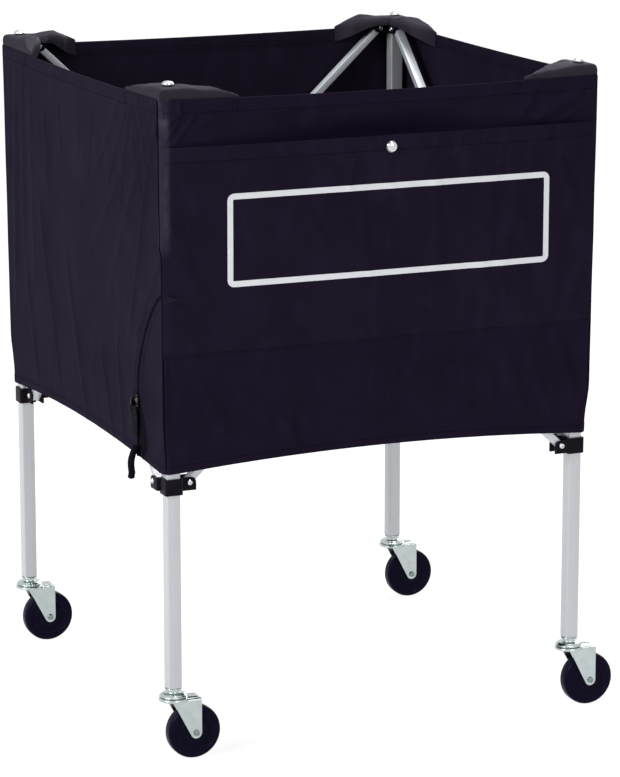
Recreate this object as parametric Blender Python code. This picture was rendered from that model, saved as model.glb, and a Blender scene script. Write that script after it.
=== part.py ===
"""Folding ball cart: a square fabric bag on four legs, scissor bars between them, and swivel casters.

Metres, +Z up. The front, with the pocket, faces -Y, and the zip is on the left side, at -X. The legs
stand on the corners of a square, so each corner piece and each side piece is made once, for the
front left corner or for the front side, and turned by quarter turns to the others.
"""
import math

import bmesh
import bpy
from mathutils import Matrix, Vector

CLEAR = 0.0003                # gap between pieces that touch

# Legs: square aluminium tube
LEG_SPACING = 0.600           # between the axes of neighbouring legs
TUBE = 0.019                  # across the flats
TUBE_WALL = 0.0012
TUBE_CORNER = 0.0022          # radius of its long edges
TUBE_TOP = 0.912

# Brackets: a socket round the leg, with a clevis towards each neighbouring leg
TOP_PIVOT_DROP = 0.0125       # from the tube's top down to the top pivots
LOW_PIVOT_Z = 0.3845
SOCKET_WALL = 0.0027
SOCKET_BACK = 0.014           # from the pivot to the end of the socket on the far side of the bars
SOCKET_FRONT = 0.008          # from the pivot to its other end
ROOF = 0.003                  # closed end of a top bracket, over the tube
EAR = 0.003                   # thickness of each clevis ear
EAR_END = 0.0095              # past the pivot
EAR_BACK = 0.011
EAR_FRONT = 0.007
ROOT_END = 0.0025             # clevis root, past the socket's face
PIVOT_GAP = 0.010             # from the root to the pivot
ROOT_STEP = 0.001             # the root lies this much inside the ears' outer faces

# Scissor bars: rectangular aluminium tube, in an outer and an inner plane on each side
BAR_WIDTH = 0.010
BAR_DEPTH = 0.013
BAR_WALL = 0.0013
BAR_END = 0.007               # past each end pivot
BAR_GAP = 0.0005              # between the two planes

# Pivot pins
PIN_R = 0.0025
PIN_HEAD_R = 0.004
PIN_HEAD = 0.0022
PIN_TAIL = 0.0016             # the riveted end, thinner than the head

# Casters
WHEEL_R = 0.0375
WHEEL_WIDTH = 0.021           # across the tread
HUB_WIDTH = 0.023
HUB_R = 0.0095
TRAIL = 0.028                 # axle behind the swivel axis
AXLE_R = 0.003
AXLE_HEAD_R = 0.0045
AXLE_HEAD = 0.002
AXLE_NUT_R = 0.0055
AXLE_NUT = 0.003
AXLE_TAIL = 0.001
FORK_SHEET = 0.0022
FORK_TIP_R = 0.008
FORK_FRONT = -0.006           # top front corner of the fork's cheeks
FORK_HEADROOM = 0.0085        # between the wheel and the fork's top
RACE_R = 0.020
RACE_LIP = 0.0026
CUP_R = 0.019
CUP = 0.0058
NECK_R = 0.0085
NECK = 0.0048
COLLAR_R = 0.0115
COLLAR = 0.002
KINGPIN_R = 0.004
KINGPIN_HEAD_R = 0.007
STEM = 0.040                  # length inside the tube

# Bag
CLOTH = 0.0012
RIM_SLACK = 0.00205           # between the top brackets and the cloth
HEM_SLACK = 0.00155           # between the bars and the cloth, at the hem
RIM_RISE = 0.0015             # over the top pivots
RIM_SAG = 0.003
HEM_GAP = 0.0075              # between the low brackets and the hem
HEM_RISE = 0.013
RECESS_HALF = 0.022           # the slack fold between the front rim and the pocket
RECESS_REACH = 0.215
RECESS_DEPTH = 0.012
DRAPE = 0.0032                # depth of the upright folds
DRAPE_PITCH = 0.17
DRAPE_TO_ZIP = 0.035          # the folds beside the zip end this far from it
FLOOR_OVER_HEM = 0.005        # at the middle of a side
FLOOR_SHEET = 0.0015
FLOOR_NOTCH_SIDE = 0.006      # between the floor's edge and a bar that passes it

# Pocket
POCKET_DROP = 0.0625          # from the rim to its mouth
POCKET_HEM = 0.0285           # depth of the hem round its mouth
POCKET_FOOT = 0.159           # from the bag's hem to its bottom seam
POCKET_ROWS = (0.0, 0.2, 0.4, 0.6, 0.75, 0.9, 1.0)
POCKET_SHEET = 0.0010
POCKET_INSET = 0.003
POCKET_BULGE = 0.0035

# Hoods: the cloth over each top bracket
HOOD_SHORT_ARM = 0.092        # from the leg axis
HOOD_LONG_ARM = 0.112
HOOD_LIE = 0.0005             # between the bracket and the cloth
HOOD_SHOULDER_RISE = 0.0026   # over its middle
HOOD_SHOULDER_AT = 0.055
HOOD_FLAT = 0.016             # flat under the snap this far out
HOOD_END_WIDTH = 0.006
HOOD_END_RISE = 0.0023
HOOD_INNER_GAP = 0.0014       # from the inner clevis to the middle of the cloth
HOOD_ARCH_RISE = 0.0055       # from the pins up to the inner lower edge
HOOD_ARCH_HALF = 0.036
HOOD_DROP = 0.0205            # from the rim down to the inner lower edge, at the ends
HOOD_ROWS = (0.0, 0.10, 0.26, 0.42, 0.58, 0.78, 1.0)

# Snaps
SNAP_R = 0.008
SNAP_FLANGE = 0.0012
SNAP_DOME = 0.0050
SNAP_POST_R = 0.003
SNAP_HOLD = 0.004             # how far the posts reach into the tubes
POCKET_SNAP_X = 0.009
POCKET_SNAP_DROP = 0.0165     # below the pocket's mouth

# Zip on the left side: straight up from the hem, then on an arc towards the front corner
ZIP_LINE = 0.225              # from the middle of the side
ZIP_STRAIGHT = 0.070          # from the hem to where its arc begins
ZIP_ARC_R = 0.210
SLIDER_DEG = 3.8              # how far round the arc the slider is parked
SLIDER_WIDTH = 0.011
SLIDER_LENGTH = 0.016
SLIDER_BODY = 0.003
ARCH_WIDTH = 0.003
ARCH_SPAN = 0.012
ARCH_VOID = 0.007
ARCH_STRAP = 0.0014
PULL_WIDTH = 0.016
PULL_LENGTH = 0.048
PULL_SHEET = 0.0016
PULL_NECK = 0.011             # width at the bar
PULL_RIM = 0.0014             # beside its window
PULL_BAR = 0.0020
PULL_WINDOW = 0.0115
PULL_TWIST_DEG = 22.0

HALF = LEG_SPACING / 2
SLOT = BAR_DEPTH + 2 * CLEAR
BAR_PLANE = (BAR_DEPTH + BAR_GAP) / 2
SOCKET_HALF = TUBE / 2 + CLEAR + SOCKET_WALL
CLEVIS_HALF = SLOT / 2 + EAR
PIVOT_REACH = SOCKET_HALF + ROOT_END + PIVOT_GAP
TOP_PIVOT_Z = TUBE_TOP - TOP_PIVOT_DROP
BAR_RUN = LEG_SPACING - 2 * PIVOT_REACH
BAR_DROP = TOP_PIVOT_Z - LOW_PIVOT_Z
BAR_PIVOTS = math.hypot(BAR_RUN, BAR_DROP)
BAR_ANGLE = math.atan2(BAR_DROP, BAR_RUN)
BAR_MID_Z = (TOP_PIVOT_Z + LOW_PIVOT_Z) / 2
PIN_HOLE_R = PIN_R + CLEAR
FORK_GAP = HUB_WIDTH + 2 * CLEAR
FORK_OUT = FORK_GAP / 2 + FORK_SHEET
FORK_PLATE_Z = 2 * WHEEL_R + FORK_HEADROOM
CUP_TOP = FORK_PLATE_Z + FORK_SHEET + RACE_LIP + CLEAR + CUP
TUBE_BOTTOM = CUP_TOP + NECK + COLLAR + CLEAR
RIM_HALF = HALF + BAR_PLANE + CLEVIS_HALF + RIM_SLACK + CLOTH
HEM_HALF = HALF + BAR_PLANE + BAR_DEPTH / 2 + HEM_SLACK + CLOTH
RIM_Z = TOP_PIVOT_Z + RIM_RISE
HEM_Z = LOW_PIVOT_Z + SOCKET_FRONT + HEM_GAP
FLOOR_Z = HEM_Z + HEM_RISE + FLOOR_OVER_HEM
POCKET_TOP = RIM_Z - POCKET_DROP
POCKET_MOUTH = POCKET_TOP - POCKET_HEM
POCKET_BOTTOM = HEM_Z + POCKET_FOOT
POCKET_SNAP_Z = POCKET_TOP - POCKET_SNAP_DROP
RECESS_Z = POCKET_TOP + RECESS_HALF + POCKET_SHEET / 2
HOOD_TOP = TUBE_TOP + CLEAR + ROOF + HOOD_LIE + CLOTH / 2
HOOD_SHOULDER = HOOD_TOP + HOOD_SHOULDER_RISE
HOOD_ARCH_Z = TOP_PIVOT_Z + HOOD_ARCH_RISE
HOOD_DROP_Z = RIM_Z - HOOD_DROP
ZIP_ARC_Z = HEM_Z + ZIP_STRAIGHT
QUARTER = math.pi / 2
CORNERS = ("front_left", "front_right", "back_right", "back_left")
SIDES = ("front", "right", "back", "left")

for old in list(bpy.data.objects):
    bpy.data.objects.remove(old, do_unlink=True)


def material(name, color, roughness, metallic=0.0):
    """A plain Principled BSDF material."""
    made = bpy.data.materials.new(name)
    made.use_nodes = True
    shader = made.node_tree.nodes["Principled BSDF"]
    shader.inputs["Base Color"].default_value = (*color, 1.0)
    shader.inputs["Roughness"].default_value = roughness
    shader.inputs["Metallic"].default_value = metallic
    return made


ALUMINIUM = material("aluminium", (0.60, 0.61, 0.63), 0.35, 1.0)
ZINC = material("zinc", (0.66, 0.70, 0.72), 0.25, 1.0)
CHROME = material("chrome", (0.80, 0.80, 0.82), 0.10, 1.0)
PLASTIC = material("black_plastic", (0.012, 0.010, 0.016), 0.40)
RUBBER = material("black_rubber", (0.010, 0.009, 0.018), 0.45)
CLOTH_BLACK = material("black_cloth", (0.014, 0.011, 0.022), 0.75)
POCKET_BLACK = material("pocket_cloth", (0.013, 0.010, 0.020), 0.75)
ZIP_BLACK = material("zip_black", (0.008, 0.008, 0.012), 0.35)


def mesh_from(name, points, faces):
    """A mesh with its faces turned outwards."""
    shape = bmesh.new()
    corners = [shape.verts.new(p) for p in points]
    for face in faces:
        shape.faces.new([corners[i] for i in face])
    bmesh.ops.recalc_face_normals(shape, faces=shape.faces)
    made = bpy.data.meshes.new(name)
    shape.to_mesh(made)
    shape.free()
    return made


def arc(centre, radius, start_deg, end_deg, steps):
    """Points of an arc in a plane, both ends included."""
    turns = [math.radians(start_deg + (end_deg - start_deg) * i / steps) for i in range(steps + 1)]
    return [(centre[0] + radius * math.cos(a), centre[1] + radius * math.sin(a)) for a in turns]


def rounded_rectangle(half_x, half_y, radius, steps=1):
    """Outline of a rectangle with round corners."""
    outline = []
    for sx, sy, start in ((1, 1, 0), (-1, 1, 90), (-1, -1, 180), (1, -1, 270)):
        centre = (sx * (half_x - radius), sy * (half_y - radius))
        outline += arc(centre, radius, start, start + 90, steps)
    return outline


def rectangle(half_x, half_y):
    return [(half_x, half_y), (-half_x, half_y), (-half_x, -half_y), (half_x, -half_y)]


PLANES = {
    "XY": lambda u, v, w: (u, v, w),
    "XZ": lambda u, v, w: (u, w, v),
    "YZ": lambda u, v, w: (w, u, v),
}


def prism(outline, low, high, plane="XY"):
    """A solid with an outline in a plane, from low to high along the third axis."""
    lift = PLANES[plane]
    count = len(outline)
    points = [lift(u, v, w) for w in (low, high) for u, v in outline]
    faces = [tuple(range(count)), tuple(range(count, 2 * count))]
    faces += [(i, (i + 1) % count, count + (i + 1) % count, count + i) for i in range(count)]
    return mesh_from("prism", points, faces)


def pipe(outer, inner, low, high, plane="XY"):
    """A tube between two outlines of as many points."""
    lift = PLANES[plane]
    count = len(outer)
    loops = [[lift(u, v, w) for u, v in edge] for w in (low, high) for edge in (outer, inner)]
    points = [p for loop in loops for p in loop]
    faces = []
    for i in range(count):
        j = (i + 1) % count
        for a, b in ((0, 1), (1, 3), (3, 2), (2, 0)):
            faces.append((a * count + i, a * count + j, b * count + j, b * count + i))
    return mesh_from("pipe", points, faces)


def turned(profile, segments, axis="Z", start=0.0):
    """A solid of revolution. The profile is (radius, height) points; it may begin and end on the axis,
    and otherwise it closes on itself round a bore."""
    place = {"Z": lambda x, y, h: (x, y, h), "Y": lambda x, y, h: (x, h, y)}[axis]
    closed = profile[0][0] > 0
    points = []
    rings = []
    for radius, height in profile:
        if radius == 0:
            rings.append([len(points)])
            points.append(place(0, 0, height))
            continue
        rings.append([len(points) + i for i in range(segments)])
        for i in range(segments):
            turn = start + 2 * math.pi * i / segments
            points.append(place(radius * math.cos(turn), radius * math.sin(turn), height))
    faces = []
    pairs = list(zip(rings, rings[1:] + rings[:1] if closed else rings[1:]))
    for upper, lower in pairs:
        for i in range(segments):
            j = (i + 1) % segments
            if len(upper) == 1:
                faces.append((upper[0], lower[i], lower[j]))
            elif len(lower) == 1:
                faces.append((upper[i], upper[j], lower[0]))
            else:
                faces.append((upper[i], upper[j], lower[j], lower[i]))
    return mesh_from("turned", points, faces)


def shell(outer, inner):
    """A closed sheet between two grids of points of the same size."""
    rows = len(outer)
    columns = len(outer[0])
    points = [p for grid in (outer, inner) for row in grid for p in row]
    back = rows * columns
    faces = []
    for r in range(rows - 1):
        for c in range(columns - 1):
            a = r * columns + c
            quad = (a, a + 1, a + columns + 1, a + columns)
            faces.append(quad)
            faces.append(tuple(i + back for i in quad))
    edge = [c for c in range(columns)]
    edge += [r * columns + columns - 1 for r in range(1, rows)]
    edge += [(rows - 1) * columns + c for c in range(columns - 2, -1, -1)]
    edge += [r * columns for r in range(rows - 2, 0, -1)]
    for a, b in zip(edge, edge[1:] + edge[:1]):
        faces.append((a, b, b + back, a + back))
    return mesh_from("shell", points, faces)


def scratch(mesh):
    """A passing object that only lends its mesh to a Boolean."""
    made = bpy.data.objects.new("scratch", mesh)
    bpy.context.scene.collection.objects.link(made)
    return made


def carved(base, join=(), cut=(), thickness=0.0):
    """The base mesh with others joined to it and others cut from it. A thickness makes a sheet solid
    first."""
    body = scratch(base)
    if thickness:
        solid = body.modifiers.new("solid", "SOLIDIFY")
        solid.thickness = thickness
        solid.offset = 0.0
        solid.use_even_offset = True
    helpers = []
    for operation, meshes in (("UNION", join), ("DIFFERENCE", cut)):
        for mesh in meshes:
            helpers.append(scratch(mesh))
            step = body.modifiers.new("step", "BOOLEAN")
            step.operation = operation
            step.solver = "EXACT"
            step.object = helpers[-1]
    seen = body.evaluated_get(bpy.context.evaluated_depsgraph_get())
    made = bpy.data.meshes.new_from_object(seen)
    for helper in [body, *helpers]:
        bpy.data.objects.remove(helper, do_unlink=True)
    return made


def moved(mesh, matrix):
    """A copy of a mesh, moved."""
    made = mesh.copy()
    made.transform(matrix)
    return made


def shift(x=0.0, y=0.0, z=0.0):
    return Matrix.Translation((x, y, z))


# The tree of moving bodies. Each empty stands on its body's joint axis, and its place in the cart's
# own frame is kept here.
PLACES = {}


def body(name, parent, at):
    """An empty on a joint's axis, under its parent body's empty."""
    made = bpy.data.objects.new(name, None)
    made.empty_display_size = 0.02
    bpy.context.scene.collection.objects.link(made)
    PLACES[name] = Vector(at)
    made.location = PLACES[name]
    if parent:
        made.parent = parent
        made.location -= PLACES[parent.name]
    return made


def node(name, mesh, look, carrier, at=(0, 0, 0), tilt=0.0, turn=0.0, smooth=None):
    """A sub-part, placed in the cart's own frame and carried by a body's empty."""
    made = bpy.data.objects.new(name, mesh)
    mesh.name = name
    if look.name not in mesh.materials:
        mesh.materials.append(look)
    if smooth:
        mesh.shade_smooth()
        mesh.set_sharp_from_angle(angle=math.radians(smooth))
    bpy.context.scene.collection.objects.link(made)
    made.parent = carrier
    made.location = Vector(at) - PLACES[carrier.name]
    made.rotation_euler = (0.0, tilt, turn)
    return made


def on_side(side, along, inward, height):
    """A point of a side in the cart's frame. Along is to the right, seen from outside, and inward is
    counted from the line between the leg axes."""
    return Matrix.Rotation(QUARTER * side, 4, "Z") @ Vector((along, inward - HALF, height))


def at_corner(corner, height=0.0):
    """A point on a leg's axis."""
    return on_side(corner, -HALF, 0.0, height)


# Bodies. Every side's outer bar runs from its left leg's top bracket to its right leg's low bracket,
# and its inner bar the other way. The front left leg carries the front and the left side, the front
# right leg the right side, and the back left leg the back side.
LEFT_END = -BAR_RUN / 2
RIGHT_END = BAR_RUN / 2

cart = body("cart", None, (0, 0, 0))
legs = {0: body("body_leg_front_left", cart, at_corner(0))}
outer_bars = {}
inner_bars = {}
low_ends = {}

outer_bars[0] = body("body_outer_bar_front", legs[0], on_side(0, LEFT_END, -BAR_PLANE, TOP_PIVOT_Z))
inner_bars[0] = body("body_inner_bar_front", outer_bars[0], on_side(0, 0, BAR_PLANE, BAR_MID_Z))
legs[1] = body("body_leg_front_right", inner_bars[0], on_side(0, RIGHT_END, BAR_PLANE, TOP_PIVOT_Z))
low_ends[0] = body("body_low_front_left", inner_bars[0], on_side(0, LEFT_END, BAR_PLANE, LOW_PIVOT_Z))
low_ends[1] = body("body_low_front_right", outer_bars[0], on_side(0, RIGHT_END, -BAR_PLANE, LOW_PIVOT_Z))

outer_bars[1] = body("body_outer_bar_right", legs[1], on_side(1, LEFT_END, -BAR_PLANE, TOP_PIVOT_Z))
inner_bars[1] = body("body_inner_bar_right", outer_bars[1], on_side(1, 0, BAR_PLANE, BAR_MID_Z))
legs[2] = body("body_leg_back_right", inner_bars[1], on_side(1, RIGHT_END, BAR_PLANE, TOP_PIVOT_Z))
low_ends[2] = body("body_low_back_right", outer_bars[1], on_side(1, RIGHT_END, -BAR_PLANE, LOW_PIVOT_Z))

inner_bars[3] = body("body_inner_bar_left", legs[0], on_side(3, RIGHT_END, BAR_PLANE, TOP_PIVOT_Z))
outer_bars[3] = body("body_outer_bar_left", inner_bars[3], on_side(3, 0, -BAR_PLANE, BAR_MID_Z))
legs[3] = body("body_leg_back_left", outer_bars[3], on_side(3, LEFT_END, -BAR_PLANE, TOP_PIVOT_Z))
low_ends[3] = body("body_low_back_left", inner_bars[3], on_side(3, LEFT_END, BAR_PLANE, LOW_PIVOT_Z))

inner_bars[2] = body("body_inner_bar_back", legs[3], on_side(2, RIGHT_END, BAR_PLANE, TOP_PIVOT_Z))
outer_bars[2] = body("body_outer_bar_back", inner_bars[2], on_side(2, 0, -BAR_PLANE, BAR_MID_Z))


# Legs
def leg_mesh():
    """The square tube, open at both ends."""
    outer = rounded_rectangle(TUBE / 2, TUBE / 2, TUBE_CORNER, 2)
    bore = TUBE / 2 - TUBE_WALL
    inner = rounded_rectangle(bore, bore, TUBE_CORNER - TUBE_WALL, 2)
    return pipe(outer, inner, TUBE_BOTTOM, TUBE_TOP)


def ear_outline():
    """A clevis ear seen from the side, from inside the socket's wall, with the pivot at (PIVOT_REACH, 0).
    Its end is cut round on the bar's side."""
    root = SOCKET_HALF - SOCKET_WALL / 2
    end = PIVOT_REACH + EAR_END
    round_end = arc((end - EAR_FRONT, 0.0), EAR_FRONT, 0, -90, 3)
    return [(root, EAR_BACK), (end, EAR_BACK), *round_end, (root, -EAR_FRONT)]


def bracket_mesh(roofed):
    """A bracket as it sits at the top of the front left leg, its pivots at height 0. The clevis along
    +X is in the outer plane and the one along +Y in the inner plane."""
    top = TUBE_TOP + CLEAR + ROOF - TOP_PIVOT_Z if roofed else SOCKET_BACK
    socket = prism(rounded_rectangle(SOCKET_HALF, SOCKET_HALF, TUBE_CORNER), -SOCKET_FRONT, top)
    root_low = SOCKET_HALF - SOCKET_WALL
    root_high = SOCKET_HALF + ROOT_END
    reach = CLEVIS_HALF - ROOT_STEP
    quarter = Matrix.Rotation(QUARTER, 4, "Z")
    pieces = []
    holes = []
    for direction, plane in ((Matrix.Identity(4), -BAR_PLANE), (quarter, -BAR_PLANE)):
        corners = [(root_low, plane - reach), (root_high, plane - reach)]
        corners += [(root_high, plane + reach), (root_low, plane + reach)]
        pieces.append(moved(prism(corners, -EAR_FRONT, EAR_BACK), direction))
        for face in (plane - CLEVIS_HALF, plane + SLOT / 2):
            pieces.append(moved(prism(ear_outline(), face, face + EAR, "XZ"), direction))
        across = 2 * (BAR_PLANE + CLEVIS_HALF)
        hole = turned([(0, -across), (PIN_HOLE_R, -across), (PIN_HOLE_R, across), (0, across)], 8, "Y")
        holes.append(moved(hole, direction @ shift(x=PIVOT_REACH)))
    bore = SOCKET_HALF - SOCKET_WALL
    bore_top = TUBE_TOP + CLEAR - TOP_PIVOT_Z if roofed else 2 * SOCKET_BACK
    holes.append(prism(rounded_rectangle(bore, bore, TUBE_CORNER / 2), -2 * SOCKET_BACK, bore_top))
    if roofed:
        post = SNAP_POST_R + CLEAR
        holes.append(turned([(0, 0), (post, 0), (post, 2 * top), (0, 2 * top)], 12))
    return carved(socket, pieces, holes)


def pivot_pin(x, outer, inner, head_outside):
    """A pin along Y through faces at outer and inner, with a head at one end and a riveted tail."""
    first, last = (PIN_HEAD, PIN_TAIL) if head_outside else (PIN_TAIL, PIN_HEAD)
    start = outer - CLEAR - first
    end = inner + CLEAR + last
    profile = [(0, start), (PIN_HEAD_R, start), (PIN_HEAD_R, start + first), (PIN_R, start + first)]
    profile += [(PIN_R, end - last), (PIN_HEAD_R, end - last), (PIN_HEAD_R, end), (0, end)]
    return moved(turned(profile, 8, "Y"), shift(x=x))


def bar_mesh(top_end):
    """A bar along X with its end pins staked into it: they turn in the brackets' ears, and show their
    heads inside the cart at the top and outside it low down. The middle has the crossing pin's hole."""
    half = BAR_PIVOTS / 2
    tube = pipe(
        rectangle(BAR_DEPTH / 2, BAR_WIDTH / 2),
        rectangle(BAR_DEPTH / 2 - BAR_WALL, BAR_WIDTH / 2 - BAR_WALL),
        -half - BAR_END, half + BAR_END, "YZ",
    )
    pins = [pivot_pin(end * half, -CLEVIS_HALF, CLEVIS_HALF, end != top_end) for end in (-1, 1)]
    across = BAR_DEPTH
    hole = turned([(0, -across), (PIN_HOLE_R, -across), (PIN_HOLE_R, across), (0, across)], 8, "Y")
    return carved(tube, pins, [hole])


LEG = leg_mesh()
TOP_BRACKET = bracket_mesh(roofed=True)
# A low bracket is the same moulding turned over about the diagonal, and open at both ends
LOW_BRACKET = moved(bracket_mesh(roofed=False), Matrix.Rotation(math.pi, 4, Vector((1, 1, 0))))
OUTER_BAR = bar_mesh(top_end=-1)
INNER_BAR = bar_mesh(top_end=1)
CROSSING_PIN = pivot_pin(0.0, -BAR_DEPTH / 2, BAR_DEPTH / 2 + 2 * BAR_PLANE, head_outside=False)

for k, corner in enumerate(CORNERS):
    node(f"leg_{corner}", LEG, ALUMINIUM, legs[k], at_corner(k), turn=QUARTER * k, smooth=50)
    top_at = at_corner(k, TOP_PIVOT_Z)
    low_at = at_corner(k, LOW_PIVOT_Z)
    node(f"top_bracket_{corner}", TOP_BRACKET, PLASTIC, legs[k], top_at, turn=QUARTER * k)
    node(f"low_bracket_{corner}", LOW_BRACKET, PLASTIC, low_ends[k], low_at, turn=QUARTER * k)


for k, side in enumerate(SIDES):
    turn = QUARTER * k
    outer_at = on_side(k, 0, -BAR_PLANE, BAR_MID_Z)
    inner_at = on_side(k, 0, BAR_PLANE, BAR_MID_Z)
    node(f"outer_bar_{side}", OUTER_BAR, ALUMINIUM, outer_bars[k], outer_at, BAR_ANGLE, turn)
    node(f"inner_bar_{side}", INNER_BAR, ALUMINIUM, inner_bars[k], inner_at, -BAR_ANGLE, turn)
    node(f"crossing_pin_{side}", CROSSING_PIN, ZINC, outer_bars[k], outer_at, BAR_ANGLE, turn, smooth=40)


# Casters. All four trail to the right, as they come to rest after the cart is pushed to the left.
def stem_mesh():
    """The fixed half of a caster: stem in the tube, collar under it, upper cup, and the kingpin
    riveted over under the fork's plate."""
    collar_top = TUBE_BOTTOM - CLEAR
    stem_r = TUBE / 2 - TUBE_WALL - CLEAR
    cup_low = CUP_TOP - CUP
    rivet_top = FORK_PLATE_Z - CLEAR
    profile = [
        (0, TUBE_BOTTOM + STEM), (stem_r, TUBE_BOTTOM + STEM), (stem_r, collar_top),
        (COLLAR_R, collar_top), (COLLAR_R, collar_top - COLLAR), (NECK_R, collar_top - COLLAR),
        (NECK_R, CUP_TOP), (CUP_R * 0.8, CUP_TOP), (CUP_R, CUP_TOP - CUP / 2), (CUP_R, cup_low),
        (KINGPIN_R, cup_low), (KINGPIN_R, rivet_top), (KINGPIN_HEAD_R, rivet_top),
        (KINGPIN_HEAD_R * 0.7, rivet_top - KINGPIN_R / 2), (0, rivet_top - KINGPIN_R / 2),
    ]
    return turned(profile, 12)


def fork_outline():
    """The fork from the side: a straight rear edge, a round tip at the axle, and a front edge that
    slopes back up to under the race."""
    tip = Vector((TRAIL, WHEEL_R))
    front = Vector((FORK_FRONT, FORK_PLATE_Z))
    run = front - tip
    tangent = math.degrees(math.atan2(run.y, run.x) + math.acos(FORK_TIP_R / run.length))
    top = FORK_PLATE_Z + FORK_SHEET
    round_tip = arc(tip, FORK_TIP_R, tangent, 360, 5)
    return [(FORK_FRONT, top), tuple(front), *round_tip, (TRAIL + FORK_TIP_R, top)]


def fork_mesh():
    """The swivelling half: one bent sheet with two cheeks, and the race pressed up in its top."""
    sheet = prism(fork_outline(), -FORK_OUT, FORK_OUT, "XZ")
    race_top = FORK_PLATE_Z + FORK_SHEET + RACE_LIP
    race_low = FORK_PLATE_Z + FORK_SHEET / 4
    race_profile = [(0, race_top), (RACE_R - RACE_LIP, race_top), (RACE_R, race_top - RACE_LIP)]
    race = turned([*race_profile, (RACE_R, race_low), (0, race_low)], 14)
    between = FORK_GAP / 2
    reach = 2 * TRAIL
    mouth = [(-between, 0.0), (between, 0.0), (between, FORK_PLATE_Z), (-between, FORK_PLATE_Z)]
    hole = KINGPIN_R + CLEAR
    above = race_top + RACE_LIP
    below = FORK_PLATE_Z - FORK_SHEET
    kingpin_hole = turned([(0, above), (hole, above), (hole, below), (0, below)], 12)
    bolt = AXLE_R + CLEAR
    across = 2 * FORK_OUT
    bolt_hole = turned([(0, -across), (bolt, -across), (bolt, across), (0, across)], 8, "Y")
    axle_hole = moved(bolt_hole, shift(x=TRAIL, z=WHEEL_R))
    return carved(sheet, [race], [prism(mouth, -reach, reach, "YZ"), kingpin_hole, axle_hole])


def axle_mesh():
    """The axle bolt through the cheeks and the wheel, with its lock nut run up on it."""
    head = FORK_OUT + CLEAR
    nut_end = head + AXLE_NUT
    profile = [
        (0, -head - AXLE_HEAD), (AXLE_HEAD_R * 0.8, -head - AXLE_HEAD), (AXLE_HEAD_R, -head),
        (AXLE_R, -head), (AXLE_R, head), (AXLE_NUT_R, head), (AXLE_NUT_R, nut_end),
        (AXLE_R, nut_end), (AXLE_R, nut_end + AXLE_TAIL), (0, nut_end + AXLE_TAIL),
    ]
    return turned(profile, 8, "Y")


def wheel_mesh():
    """A hard rubber wheel with a hub boss and a rounded tread. A flat of its rim is on the floor."""
    half = WHEEL_WIDTH / 2
    hub = HUB_WIDTH / 2
    bore = AXLE_R + CLEAR
    side = [(bore, hub), (HUB_R, hub), (HUB_R, half), (WHEEL_R - 0.0025, half), (WHEEL_R, half - 0.0025)]
    profile = [(r, -y) for r, y in side] + [(r, y) for r, y in reversed(side)]
    return turned(profile, 18, "Y", start=-QUARTER)


STEM_MESH = stem_mesh()
FORK = fork_mesh()
AXLE = axle_mesh()
WHEEL = wheel_mesh()

for k, corner in enumerate(CORNERS):
    here = at_corner(k)
    fork = body(f"body_fork_{corner}", legs[k], here)
    axle = here + Vector((TRAIL, 0, WHEEL_R))
    wheel = body(f"body_wheel_{corner}", fork, axle)
    node(f"caster_stem_{corner}", STEM_MESH, ZINC, legs[k], here, smooth=40)
    node(f"caster_fork_{corner}", FORK, ZINC, fork, here)
    node(f"axle_bolt_{corner}", AXLE, ZINC, fork, axle, smooth=40)
    node(f"wheel_{corner}", WHEEL, RUBBER, wheel, axle, smooth=40)


# Bag
def bag_half(z):
    """Half the bag's width at a height: it narrows a little from rim to hem."""
    return HEM_HALF + (RIM_HALF - HEM_HALF) * (z - HEM_Z) / (RIM_Z - HEM_Z)


def rim_z(x):
    return RIM_Z - RIM_SAG * (1 - (x / RIM_HALF) ** 2)


def hem_z(x):
    return HEM_Z + HEM_RISE * (1 - (x / HEM_HALF) ** 2)


def ridge(distance, half_width):
    """The section of a soft fold: 1 on its line, 0 from half_width on."""
    share = min(abs(distance) / half_width, 1.0)
    return (1 - share * share) ** 2


def front_fold(x, z):
    """How far the front panel lies inside its plane."""
    return RECESS_DEPTH * ridge(z - RECESS_Z, RECESS_HALF) * ridge(x, RECESS_REACH)


def upright_folds(x, z, low, high, phase):
    """Upright folds that stand out between two places along a side, and fade at rim and hem."""
    middle = (low + high) / 2
    across = ridge(x - middle, (high - low) / 2)
    along = ridge(z - (RIM_Z + HEM_Z) / 2 - 0.02, (RIM_Z - HEM_Z) / 2 - 0.02)
    wave = 0.5 + 0.5 * math.cos(2 * math.pi * x / DRAPE_PITCH + phase)
    return -DRAPE * across * along * wave


def panel_mesh(fold, heights, columns, inset):
    """One side of the bag, in the front side's place. Inset draws its upright edges in, so that two
    sides of the bag stand inside the other two."""
    outer = []
    inner = []
    for share in heights:
        outer_row = []
        inner_row = []
        for c in range(columns + 1):
            u = 2 * c / columns - 1
            z = hem_z(u * HEM_HALF) + share * (rim_z(u * RIM_HALF) - hem_z(u * HEM_HALF))
            half = bag_half(z)
            x = u * (half - inset)
            y = -half + fold(x, z)
            outer_row.append((x, y, z))
            inner_row.append((x, y + CLOTH, z))
        outer.append(outer_row)
        inner.append(inner_row)
    return shell(outer, inner)


def even(rows):
    return [r / rows for r in range(rows + 1)]


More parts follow.
